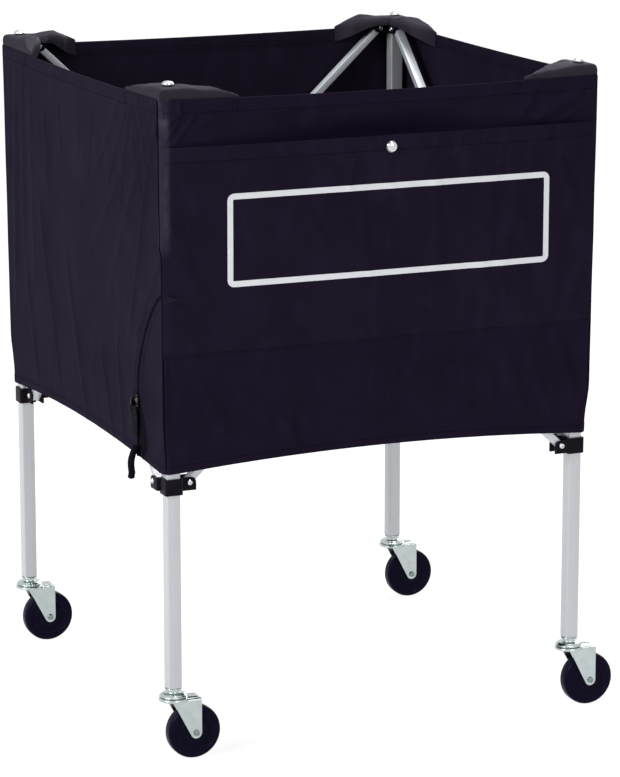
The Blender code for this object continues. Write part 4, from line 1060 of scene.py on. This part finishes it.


# The hoods' cloth is a paler, greyer copy of the bag's, with more coat: its paler colour is a painted sheen
# of the lamp above.
HOOD_CLOTH_PAINTED_SHEEN = coated_nylon("hood_cloth", (0.0080, 0.0056, 0.0126), (0.0270, 0.0220, 0.0360), coat=0.30)
for k, corner in enumerate(CORNERS):
    arms = (HOOD_SHORT, HOOD_LONG) if k % 2 == 0 else (HOOD_LONG, HOOD_SHORT)
    mesh = thickened(hood_rows(*arms, HOOD_SHOULDERS[k]))
    hood = piece(f"hood_cloth_{corner}", mesh, HOOD_CLOTH_PAINTED_SHEEN, "black_cloth", at_leg(k), f"leg_{corner}",
                 f"hood_{corner}")


# Snaps. Domed chrome caps that hold the hoods on the brackets, and one that closes the pocket.
SNAP_R = 0.008
SNAP_FLANGE = 0.0012
SNAP_DOME = 0.0036
SNAP_POST_R = 0.003
SNAP_CUTS = 48
SNAP_SHARP = 45
SNAP_STEEL = polished_steel("snap_chrome", 0.05)


def snap_mesh(post):
    """A dome on a flange, with a post of some length under it."""
    profile = [(LEAST_R, SNAP_FLANGE + SNAP_DOME)]
    for degrees in (8, 18, 28, 38, 48, 58, 68, 78, 86):
        turn = math.radians(degrees)
        profile.append((SNAP_R * 0.93 * math.sin(turn), SNAP_FLANGE + SNAP_DOME * math.cos(turn)))
    profile += [
        (SNAP_R * 0.95, SNAP_FLANGE), (SNAP_R - 0.0002, SNAP_FLANGE - 0.0001), (SNAP_R, SNAP_FLANGE - 0.0004),
        (SNAP_R, 0.0003), (SNAP_R - 0.0003, 0.0), (SNAP_POST_R, 0.0), (SNAP_POST_R, -post), (LEAST_R, -post),
    ]
    return turned(profile, SNAP_CUTS, SNAP_SHARP)


for k, corner in enumerate(CORNERS):
    low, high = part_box(f"snap_{corner}")
    seat = high.z - SNAP_FLANGE - SNAP_DOME
    place = Matrix.Translation((*at_leg(k).translation.xy, seat))
    piece(f"hood_snap_{corner}", snap_mesh(seat - low.z), SNAP_STEEL, "chrome", place, f"leg_{corner}",
          f"snap_{corner}")


# Pocket. One piece of lighter cloth over the front, sewn in at both corners and along its foot. Its
# mouth has a deep hem, and a white frame for a name is printed on it.
POCKET_SHEET = 0.0010
POCKET_GAP = 0.0003
POCKET_HEM = 0.0225
POCKET_GAPE = 0.0080
POCKET_FULL = 0.0035          # how far its middle stands out
POCKET_GRAIN = 0.0008
POCKET_FINE = 0.00015
POCKET_SEAM_DIP = 0.0016
POCKET_LOW = 0.014            # how far below its middle it is fullest
HELD_SIDE = 0.012             # how far the seams hold it flat
HELD_FOOT = 0.006
GAPE_REACH = 0.060
GAPE_HALF = 0.31
GAPE_SNAP = 0.040             # how far the snap holds the mouth half shut
POCKET_INSET = 0.0010
POCKET_EDGE = 0.0003
POCKET_WAVE = 0.0007
SNAP_X = 0.009
SNAP_Z = 0.822
SNAP_GAP = 0.0002
CLOSURE_POST = 0.0009
POCKET_FOLDS = folds(
    (75, 838, 60, 790, 70, 14, 0.3), (112, 838, 104, 800, 60, 12, 0.3),
    (150, 836, 146, 812, 50, 10, 0.3), (178, 836, 168, 775, 70, 14, 0.3),
    (226, 834, 214, 780, 70, 12, 0.3), (246, 836, 240, 815, 50, 10, 0.3),
    (-45, 815, -52, 760, 80, 12, 0.3), (4, 812, 10, 765, 80, 10, 0.3),
    (75, 800, 80, 660, 140, 12, 0.3), (-40, 770, -20, 640, 120, 9, 0.3),
    (160, 780, 140, 610, 220, 14, 0.3), (200, 770, 170, 620, 180, 12, 0.3),
    (255, 800, 290, 720, 160, 18, 0.3), (262, 690, 255, 580, 180, 14, 0.3),
    (300, 640, 270, 565, 140, 16, 0.3), (-110, 740, -75, 680, 100, 9, 0.3),
    (-300, 700, -255, 620, 200, 16, 0.3),
)


def pocket_skin(x, z):
    """The outer face of the pocket's cloth."""
    middle = (POCKET_TOP + POCKET_BOTTOM) / 2 - POCKET_LOW
    full = POCKET_FULL * ridge(z - middle, middle - POCKET_BOTTOM) * ridge(x, RIM_HALF)
    held = ease((half_at(z) - abs(x)) / HELD_SIDE) * ease((z - POCKET_BOTTOM) / HELD_FOOT)
    creased = FOLD_GAIN * folded(x, z, POCKET_FOLDS)
    grain = POCKET_GRAIN * (0.6 + noise.noise(Vector((x * 8, z * 5, 40.0))))
    grain += POCKET_FINE * noise.noise(Vector((x * 40, z * 30, 9)))
    gape = POCKET_GAPE * ridge(z - POCKET_TOP, GAPE_REACH) * (1 - min(abs(x) / GAPE_HALF, 1.0) ** 4)
    gape *= 1 - 0.5 * ridge(x - SNAP_X, GAPE_SNAP)
    hem = BAND_RAISE * ease((z - POCKET_TOP + POCKET_HEM + STEP_HALF) / (2 * STEP_HALF))
    seam = max(abs(x) - half_at(z) + SEAM_TURN, 0.0) / SEAM_TURN
    flat = -half_at(z) - POCKET_GAP - POCKET_SHEET + corner_pull(x, z)
    return flat - (full + creased + grain + gape) * held - hem + POCKET_SEAM_DIP * seam * seam


def pocket_mesh():
    """The pocket's cloth, with its mouth turned over and its foot a little wavy."""
    mouth = POCKET_TOP - POCKET_HEM
    near_edges = [POCKET_BOTTOM + 0.0006, POCKET_BOTTOM + 0.002, POCKET_TOP - 0.002, POCKET_TOP - 0.0006]
    near_edges += [mouth - STEP_HALF, mouth, mouth + STEP_HALF]
    near_seam = [1 - d / RIM_HALF for d in (*NEAR_SEAM, 0.014)]

    def pair(z, run):
        x = run * (half_at(z) - POCKET_INSET)
        y = pocket_skin(x, z)
        fold = POCKET_EDGE * (ridge(z - POCKET_TOP, EDGE_REACH) + ridge(z - POCKET_BOTTOM, EDGE_REACH))
        wave = POCKET_WAVE * noise.noise(Vector((x * 30, 1.5, 2.5)))
        wave *= ease((0.004 - z + POCKET_BOTTOM) / 0.004)
        return (x, y + fold, z + wave), (x, y + POCKET_SHEET - fold, z + wave)

    heights = spread(POCKET_BOTTOM, POCKET_TOP, 76, near_edges)
    runs = spread(-1.0, 1.0, 170, near_seam + [-v for v in near_seam])
    return sheet(heights, runs, pair, SEWN_SHARP)


# The pocket has the same painted sheen on its drawn-in left edge.
POCKET_CLOTH = coated_nylon("pocket_cloth_weave", (0.0058, 0.0032, 0.0108), (0.0170, 0.0108, 0.0280),
                            edge=PAINTED_EDGE_SHEEN)
pocket = piece("pocket_front", pocket_mesh(), POCKET_CLOTH, "pocket_cloth", facing(0), "leg_front_left",
               "pocket")
gathered(pocket)

closure_at = (SNAP_X, pocket_skin(SNAP_X, SNAP_Z) - SNAP_GAP, SNAP_Z)
place = facing(0) @ Matrix.Translation(closure_at) @ Matrix.Rotation(QUARTER, 4, "X")
closure = piece("pocket_closure", snap_mesh(CLOSURE_POST), SNAP_STEEL, "chrome", place, "leg_front_left",
                "pocket_snap")
gathered(closure)

FRAME_LOW = (-0.226, 0.648)
FRAME_HIGH = (0.247, 0.773)
FRAME_LINE = 0.0080
FRAME_CORNER = 0.0095
PRINT_THICKNESS = 0.00018


def printed_frame():
    """A band of print that follows the pocket's folds."""
    centre_x = (FRAME_LOW[0] + FRAME_HIGH[0]) / 2
    centre_z = (FRAME_LOW[1] + FRAME_HIGH[1]) / 2
    half_x = (FRAME_HIGH[0] - FRAME_LOW[0]) / 2
    half_z = (FRAME_HIGH[1] - FRAME_LOW[1]) / 2
    loops = []
    for inset in (0.0, FRAME_LINE / 4, FRAME_LINE / 2, FRAME_LINE * 3 / 4, FRAME_LINE):
        radius = max(FRAME_CORNER - inset, 0.0014)
        outline = rounded(half_x - inset, half_z - inset, radius, 6)
        loop = []
        for (u, v), (next_u, next_v) in zip(outline, outline[1:] + outline[:1]):
            cuts = 100 if abs(next_u - u) > 0.1 else 26 if abs(next_v - v) > 0.05 else 1
            for c in range(cuts):
                across = u + (next_u - u) * c / cuts
                up = v + (next_v - v) * c / cuts
                loop.append((centre_x + across, centre_z + up))
        loops.append(loop)
    bands = [[(x, pocket_skin(x, z) - PRINT_THICKNESS, z) for x, z in loop] for loop in loops]
    return lofted(bands, SOFT_SHARP, "open")


def white_print():
    """Matt white transfer print, with the cloth's weave under it and a slightly uneven coat."""
    finish = Finish("white_print", Specular_IOR_Level=0.3)
    coat = finish.clouds(36.0, detail=4.0)
    grain = finish.clouds(1800.0, detail=1.0)
    tone = finish.colours(coat, (0.74, 0.75, 0.79), (0.84, 0.85, 0.88))
    return finish.vary(Base_Color=tone, Roughness=0.5 + coat * 0.15, Normal=finish.relief(grain, 0.00004))


gathered(piece("name_frame", printed_frame(), white_print(), "pocket_cloth", facing(0), "leg_front_left"))


# Stitching. Black thread, a little shinier than the cloth: a row at the rim and a second one inside the
# bag, a row at the foot, two short upright ones near each end of the rim, where a hood's arm is sewn down,
# and one at the mouth and at the foot of the pocket.
THREAD_R = 0.00038
STITCH = 0.0032
STITCH_PITCH = 0.0043
RIM_ROW = 0.0035              # each row's distance from the edge of the hem that it holds
SECOND_RIM_ROW = 0.0085
HEM_ROW = 0.0022
FOOT_ROW = 0.0024
ARM_ROWS = (0.003, 0.009)     # the upright rows' distances from the end of an arm of a hood
UPRIGHT_TOP = 0.0015          # how far below the rim they begin, and over which share of its hem they run
UPRIGHT_SHARE = 0.9
ROW_INSET = 0.006             # a row's end from the corner


def sewn(lines):
    """Stitches along lines of (point, outward direction) pairs, half sunk in the cloth."""
    points = []
    faces = []
    for line in lines:
        travelled = 0.0
        next_at = STITCH_PITCH / 2
        for (a, out_a), (b, _) in zip(line, line[1:]):
            a = Vector(a)
            b = Vector(b)
            length = (b - a).length
            along = (b - a) / length if length else Vector((1, 0, 0))
            side = along.cross(Vector(out_a)).normalized()
            up = side.cross(along).normalized()
            while next_at <= travelled + length:
                centre = a + along * (next_at - travelled)
                base = len(points)
                points.append(tuple(centre - along * STITCH / 2 - up * THREAD_R))
                for reach in (-0.30, 0.30):
                    for turn in (0, 60, 120, 180, 240, 300):
                        t = math.radians(turn)
                        ring = side * math.cos(t) * THREAD_R + up * (math.sin(t) * THREAD_R + THREAD_R * 0.3)
                        points.append(tuple(centre + along * STITCH * reach + ring))
                points.append(tuple(centre + along * STITCH / 2 - up * THREAD_R))
                for i in range(6):
                    j = (i + 1) % 6
                    faces.append((base, base + 1 + j, base + 1 + i))
                    faces.append((base + 1 + i, base + 1 + j, base + 7 + j, base + 7 + i))
                    faces.append((base + 7 + i, base + 7 + j, base + 13))
                next_at += STITCH_PITCH
            travelled += length
    return mesh_of(points, faces, SOFT_SHARP)


def run_on(side, z_of, inside=False, skin_of=None):
    """A line across a side at the height that z_of gives, outside or inside, or on a skin of its own."""
    line = []
    for i in range(161):
        x = (RIM_HALF - ROW_INSET) * (i / 80 - 1)
        z = z_of(x)
        y = skin_of(x, z) if skin_of else skin(side, x, z)
        if inside:
            y += CLOTH + BAND_INSIDE * band_raise(x, z)
        line.append(((x, y, z), (0, 1 if inside else -1, 0)))
    return line


def black_thread():
    """Twisted polyester thread."""
    finish = Finish("black_thread", IOR=1.06)
    twist = finish.clouds(2400.0)
    tone = finish.colours(twist, (0.0014, 0.0009, 0.0030), (0.0045, 0.0034, 0.0075))
    return finish.vary(Base_Color=tone, Roughness=0.45 + twist * 0.2)


THREAD = black_thread()
for k, side in enumerate(SIDES):
    rows = []
    for inside in (False, True):
        rows.append(run_on(k, lambda x: rim_at(x) - RIM_BAND + RIM_ROW, inside=inside))
        rows.append(run_on(k, lambda x: hem_at(x) + HEM_BAND - HEM_ROW, inside=inside))
    rows.append(run_on(k, lambda x: rim_at(x) - RIM_BAND + SECOND_RIM_ROW, inside=True))
    # by the short arm at the left end of every side, and by the long one at its right end
    for hand, arm in ((-1, HOOD_SHORT), (1, HOOD_LONG)):
        for row in ARM_ROWS:
            x = hand * (HALF - arm + row)
            heights = [rim_at(x) - UPRIGHT_TOP - RIM_BAND * UPRIGHT_SHARE * i / 8 for i in range(9)]
            rows.append([((x, skin(k, x, z), z), (0, -1, 0)) for z in heights])
    stitching = piece(f"stitching_{side}", sewn(rows), THREAD, "black_cloth", facing(k), PANEL_BODY[k])
    gathered(stitching)
mouth = run_on(0, lambda x: POCKET_TOP - POCKET_HEM + HEM_ROW, skin_of=pocket_skin)
foot = run_on(0, lambda x: POCKET_BOTTOM + FOOT_ROW, skin_of=pocket_skin)
rows = sewn([mouth, foot])
gathered(piece("stitching_pocket", rows, THREAD, "pocket_cloth", facing(0), "leg_front_left"))


# Corner seams. The four sides are joined by a bound seam down each corner of the bag.
SEAM_R = 0.0011
SEAM_FOOT = 0.0015
SEAM_HEAD = 0.002
SEAM_SUNK = 0.0010
SEAM_WANDER = 0.0006


def seam_mesh(corner):
    """A bead down a corner, in the frame of the side to its right."""
    rings = []
    for i in range(91):
        z = HEM_Z + SEAM_FOOT + (RIM_Z - SEAM_HEAD - HEM_Z - SEAM_FOOT) * i / 90
        at = half_at(z) - rounding(z) - SEAM_SUNK
        pull = strip_depth(z) if corner == 0 else 0.0
        wander = SEAM_WANDER * noise.noise(Vector((z * 14, corner * 5.0, 2.0)))
        ring = []
        for step in range(8):
            turn = 2 * math.pi * step / 8
            ring.append((-at + wander + SEAM_R * math.cos(turn), -at + pull + SEAM_R * math.sin(turn), z))
        rings.append(ring)
    return lofted(rings, STIFF_SHARP)


for k, corner in enumerate(CORNERS):
    piece(f"corner_seam_{corner}", seam_mesh(k), THREAD, "black_cloth", facing(k), f"leg_{corner}")


# Zip. A coil zip on black tape, sewn behind two welts of the bag's cloth on the left side: straight up
# from the hem, then on an arc to the front corner. Below the slider it stands open, and the end of its
# tape, rolled up and sewn, hangs out of the hem.
ZIP_ARC_Z = 0.470
ZIP_ARC_R = 0.210
ZIP_END_DEG = 56.5
SLIDER_DEG = 3.8
SLIDER_HALF = 0.008
WELT = 0.0070
WELT_GAP = 0.0056
WELT_RISE = 0.0024
WELT_PROFILE = ((0.0, 0.0), (0.02, 0.75), (0.14, 1.0), (0.34, 0.92), (0.62, 0.50), (0.86, 0.16), (1.0, 0.0))
TAPE_HALF = 0.005
TAPE_LOW = 0.0001             # the heights of its faces
TAPE_HIGH = 0.0004
COIL_HALF = 0.0021
COIL_PITCH = 0.0016
COIL_WIRE_R = 0.00032
COIL_HEIGHT = 0.0009
COIL_BULGE = 0.0005
COIL_START = 0.002
COIL_CUTS = 6
ZIP_SUNK = 0.0002             # how deep all of it sits in the cloth
END_LENGTH = 0.049
END_LEAN = 0.021
END_OUT = 0.0060
END_BOW = 0.0040
END_NARROW = 0.0046           # half its thickness, and half its width at the top
END_WIDE = 0.0058
END_FRAY = 0.0022
WEDGE_WIDTH = 0.034
WEDGE_TOP = 0.030             # how far above the slider its welt begins to part
WEDGE_FULL = 0.026            # where it is widest, and how it gets narrower again towards the hem
WEDGE_START = 0.014
WEDGE_GROWS = 0.034
STRIP_SHARP = 50
CAST_SHARP = 25
ZIP_STRAIGHT = ZIP_ARC_Z - hem_at(ZIP_LINE)
ZIP_LENGTH = ZIP_STRAIGHT + ZIP_ARC_R * math.radians(ZIP_END_DEG)
SLIDER_RUN = ZIP_STRAIGHT + ZIP_ARC_R * math.radians(SLIDER_DEG)


def zip_at(run):
    """A point of the zip's line and its direction, at a length from the hem."""
    if run < ZIP_STRAIGHT:
        return Vector((ZIP_LINE, ZIP_ARC_Z - ZIP_STRAIGHT + run)), Vector((0, 1))
    turn = (run - ZIP_STRAIGHT) / ZIP_ARC_R
    arc = Vector((ZIP_LINE + ZIP_ARC_R * (1 - math.cos(turn)), ZIP_ARC_Z + ZIP_ARC_R * math.sin(turn)))
    return arc, Vector((math.sin(turn), math.cos(turn)))


def parted(run, top):
    """How far the zip's front edge stands off its line: not at the top, most near the hem."""
    return WEDGE_WIDTH * ease((top - run) / (top - WEDGE_FULL)) * ease((run + WEDGE_START) / WEDGE_GROWS)


def along_zip(sections, low, high, steps):
    """A closed strip along the zip. Its section is (across, out) pairs for each length from the hem."""
    rings = []
    for i in range(steps + 1):
        run = mix(low, high, i / steps)
        middle, ahead = zip_at(run)
        ring = []
        for across, out in sections(run):
            x = middle.x + ahead.y * across
            z = middle.y - ahead.x * across
            ring.append((x, skin(3, x, z) + ZIP_SUNK - out, z))
        rings.append(ring)
    return lofted(rings, STRIP_SHARP)


def welt(hand):
    def section(run):
        start = WELT_GAP / 2 + (parted(run, SLIDER_RUN + WEDGE_TOP) if hand > 0 else 0.0)
        fade = ease((ZIP_LENGTH - run) / 0.02)
        half = []
        for share, rise in WELT_PROFILE:
            half.append((hand * (start + WELT * share), TAPE_LOW + WELT_RISE * rise * fade))
        return half
    return section


def tape(run):
    reach = TAPE_HALF + parted(run, SLIDER_RUN + WEDGE_TOP)
    return [(-TAPE_HALF, TAPE_LOW), (-TAPE_HALF, TAPE_HIGH), (reach, TAPE_HIGH), (reach, TAPE_LOW)]


def coil(hand):
    """One side's teeth: loops of nylon wire, sewn along the edge of the tape."""
    rings = []
    count = int((ZIP_LENGTH - 2 * COIL_START) / COIL_PITCH) * COIL_CUTS
    for i in range(count):
        run = COIL_START + (ZIP_LENGTH - 3 * COIL_START) * i / count
        turn = 2 * math.pi * i / COIL_CUTS
        middle, ahead = zip_at(run)
        half_open = 0.6 * parted(run, SLIDER_RUN - SLIDER_HALF) if hand > 0 else 0.0
        across = hand * (COIL_HALF / 2 + half_open) + COIL_HALF / 2 * math.cos(turn)
        out = COIL_HEIGHT + COIL_BULGE * math.sin(turn)
        centre = Vector((middle.x + ahead.y * across, 0, middle.y - ahead.x * across))
        centre.y = skin(3, centre.x, centre.z) + ZIP_SUNK - out
        section = ((1, 0, 0), (0, 1, 0), (-1, 0, 0), (0, -1, 0))
        rings.append([tuple(centre + Vector(corner) * COIL_WIRE_R) for corner in section])
    return lofted(rings, SOFT_SHARP)


def rolled_end():
    """The tape's end below the hem: a flat tube, seamed along one side, frayed at its cut."""
    rings = []
    start, _ = zip_at(0.016)
    for i in range(25):
        share = i / 24
        x = start.x + 0.003 - END_LEAN * share ** 1.1
        z = start.y - END_LENGTH * share
        out = END_OUT + END_BOW * math.sin(math.pi * min(share * 1.2, 1.0))
        wide = mix(END_NARROW, END_WIDE, ease(share * 2)) * (1 + 0.06 * math.sin(share * 40))
        ring = []
        for step in range(20):
            turn = 2 * math.pi * step / 20
            fray = END_FRAY * noise.noise(Vector((step * 1.7, 3.0, 1.0))) if i == 24 else 0.0
            pinch = 1 - 0.22 * ridge(step - 5, 2)
            y = skin(3, x, max(z, hem_at(x))) - out - END_NARROW * pinch * math.sin(turn)
            ring.append((x + wide * pinch * math.cos(turn), y, z + fray))
        rings.append(ring)
    return lofted(rings, STIFF_SHARP)


def black_tape():
    """Woven polyester tape: herringbone ribs along it."""
    finish = Finish("zip_tape", IOR=1.03)
    rib = finish.clouds(1.0, (1800, 1800, 300), 2.0)
    worn = finish.clouds(120.0)
    tone = finish.colours(worn * 0.6 + rib * 0.4, (0.0022, 0.0016, 0.0040), (0.0110, 0.0094, 0.0150))
    return finish.vary(Base_Color=tone, Roughness=0.5 + rib * 0.2, Normal=finish.relief(rib, 0.00012))


def nylon_coil():
    """Black nylon wire."""
    finish = Finish("zip_coil", IOR=1.10)
    wear = finish.clouds(300.0)
    return finish.vary(Base_Color=finish.colours(wear, (0.004, 0.0035, 0.006), (0.010, 0.009, 0.013)),
                       Roughness=0.3 + wear * 0.2)


def enamelled():
    """Black enamel over zinc, worn at its raised places."""
    finish = Finish("black_enamel", IOR=1.16)
    orange_peel = finish.clouds(700.0)
    worn = finish.ramp(finish.clouds(180.0), 0.55, 0.85)
    tone = finish.colours(worn, (0.0030, 0.0026, 0.0052), (0.0120, 0.0115, 0.0150))
    peel = finish.relief(orange_peel, 0.00003)
    return finish.vary(Base_Color=tone, Roughness=0.16 + worn * 0.18, Normal=peel)


TAPE_BLACK = black_tape()
COIL_BLACK = nylon_coil()
ENAMEL = enamelled()
left = facing(3)
piece("zip_tape", along_zip(tape, 0.0, ZIP_LENGTH, 120), TAPE_BLACK, "zip_black", left, "leg_front_left")
piece("zip_teeth", combined(coil(-1), coil(1)), COIL_BLACK, "zip_black", left, "leg_front_left")
for hand, name in ((-1, "rear"), (1, "front")):
    strip = along_zip(welt(hand), 0.0, ZIP_LENGTH, 130)
    piece(f"zip_welt_{name}", strip, BAG_CLOTH_PAINTED_SHEEN, "black_cloth", left, "leg_front_left")
piece("zip_tape_end", rolled_end(), TAPE_BLACK, "zip_black", left, "leg_front_left")
for name, node, edge in (("zip_slider_body", "zip_slider", 0.0004), ("zip_pull_plate", "zip_pull", 0.00065)):
    piece(name, softened(node, edge, CAST_SHARP), ENAMEL, "zip_black", Matrix(), node, node)


# Studio. A pale floor and a white backdrop, soft light from the left and above, and the camera that
# the photograph was taken with, from its corner, above the rim.
CAMERA_AT = (-1.924, -4.486, 1.527)
CAMERA_YAW = 23.33
CAMERA_PITCH = 12.73
CAMERA_LENS = 161
AIR_LIGHT = 0.13              # the backdrop looks white, but lights the cart by only so much
FLOOR_GLOW = 0.92             # what the camera sees of the floor near the cart, without its lamps
GLOW_FADES = (1.0, 4.5)       # metres from the cart's middle, between which it turns white
GROUND_HALF = 9

camera = bpy.data.objects.new("camera", bpy.data.cameras.new("camera"))
bpy.context.scene.collection.objects.link(camera)
camera.location = CAMERA_AT
camera.rotation_euler = (math.radians(90 - CAMERA_PITCH), 0, -math.radians(CAMERA_YAW))
camera.data.lens = CAMERA_LENS
camera.data.sensor_width = 36
camera.data.clip_end = 60
bpy.context.scene.camera = camera

world = bpy.data.worlds.new("studio")
bpy.context.scene.world = world
world.use_nodes = True
air = Nodes(world.node_tree)
air_light = air.tree.nodes["Background"]
air.fill(air_light, {"Color": (0.93, 0.95, 1.0, 1), "Strength": AIR_LIGHT})
backdrop = air.node("Background", {}, {"Color": (1, 1, 1, 1), "Strength": 1.0})
air_seen = air.node("MixShader", {}, {0: air.looked_at(), 1: Field(air, air_light.outputs[0]), 2: backdrop})
air.fill(air.tree.nodes["World Output"], {"Surface": air_seen})


def lamp(name, at, towards, size, power):
    """A square soft box."""
    light = bpy.data.lights.new(name, "AREA")
    light.size = size
    light.energy = power
    made = bpy.data.objects.new(name, light)
    bpy.context.scene.collection.objects.link(made)
    made.location = at
    made.rotation_euler = (Vector(towards) - Vector(at)).to_track_quat("-Z", "Y").to_euler()


lamp("key", (-3.6, -1.2, 2.6), (0, 0, 0.55), 1.8, 140)
lamp("top", (0.4, 0.4, 3.8), (0, 0, 0.5), 1.6, 115)
lamp("fill", (0.6, -4.2, 2.2), (0, 0, 0.5), 2.2, 36)
lamp("rear", (3.0, 3.0, 2.4), (0, 0, 0.5), 2.2, 70)

ground = bpy.data.meshes.new("ground")
spots = [(x * GROUND_HALF, y * GROUND_HALF, 0) for x, y in ((-1, -1), (1, -1), (1, 1), (-1, 1))]
ground.from_pydata(spots, [], [(0, 1, 2, 3)])
floor = bpy.data.objects.new("ground", ground)
bpy.context.scene.collection.objects.link(floor)
pale = Finish("pale_floor", Specular_IOR_Level=0.0, Roughness=0.9, Emission_Strength=1.0)
distance = pale.node("VectorMath", {"operation": "LENGTH"}, {0: pale.point()}, output=1)
glow = pale.colours(pale.ramp(distance, *GLOW_FADES), (FLOOR_GLOW, FLOOR_GLOW, FLOOR_GLOW), (1, 1, 1))
grey = pale.colours(pale.clouds(0.7), (0.16, 0.16, 0.16), (0.18, 0.18, 0.18))
pale.vary(Base_Color=grey, Emission_Color=glow)
bounce = pale.node("BsdfDiffuse", {}, {"Color": (0.90, 0.90, 0.90, 1)})
floor_look = Field(pale, pale.shader.outputs[0])
floor_seen = pale.node("MixShader", {}, {0: pale.looked_at(), 1: bounce, 2: floor_look})
pale.fill(pale.tree.nodes["Material Output"], {"Surface": floor_seen})
ground.materials.append(pale.material)

bpy.context.scene.view_settings.view_transform = "Standard"
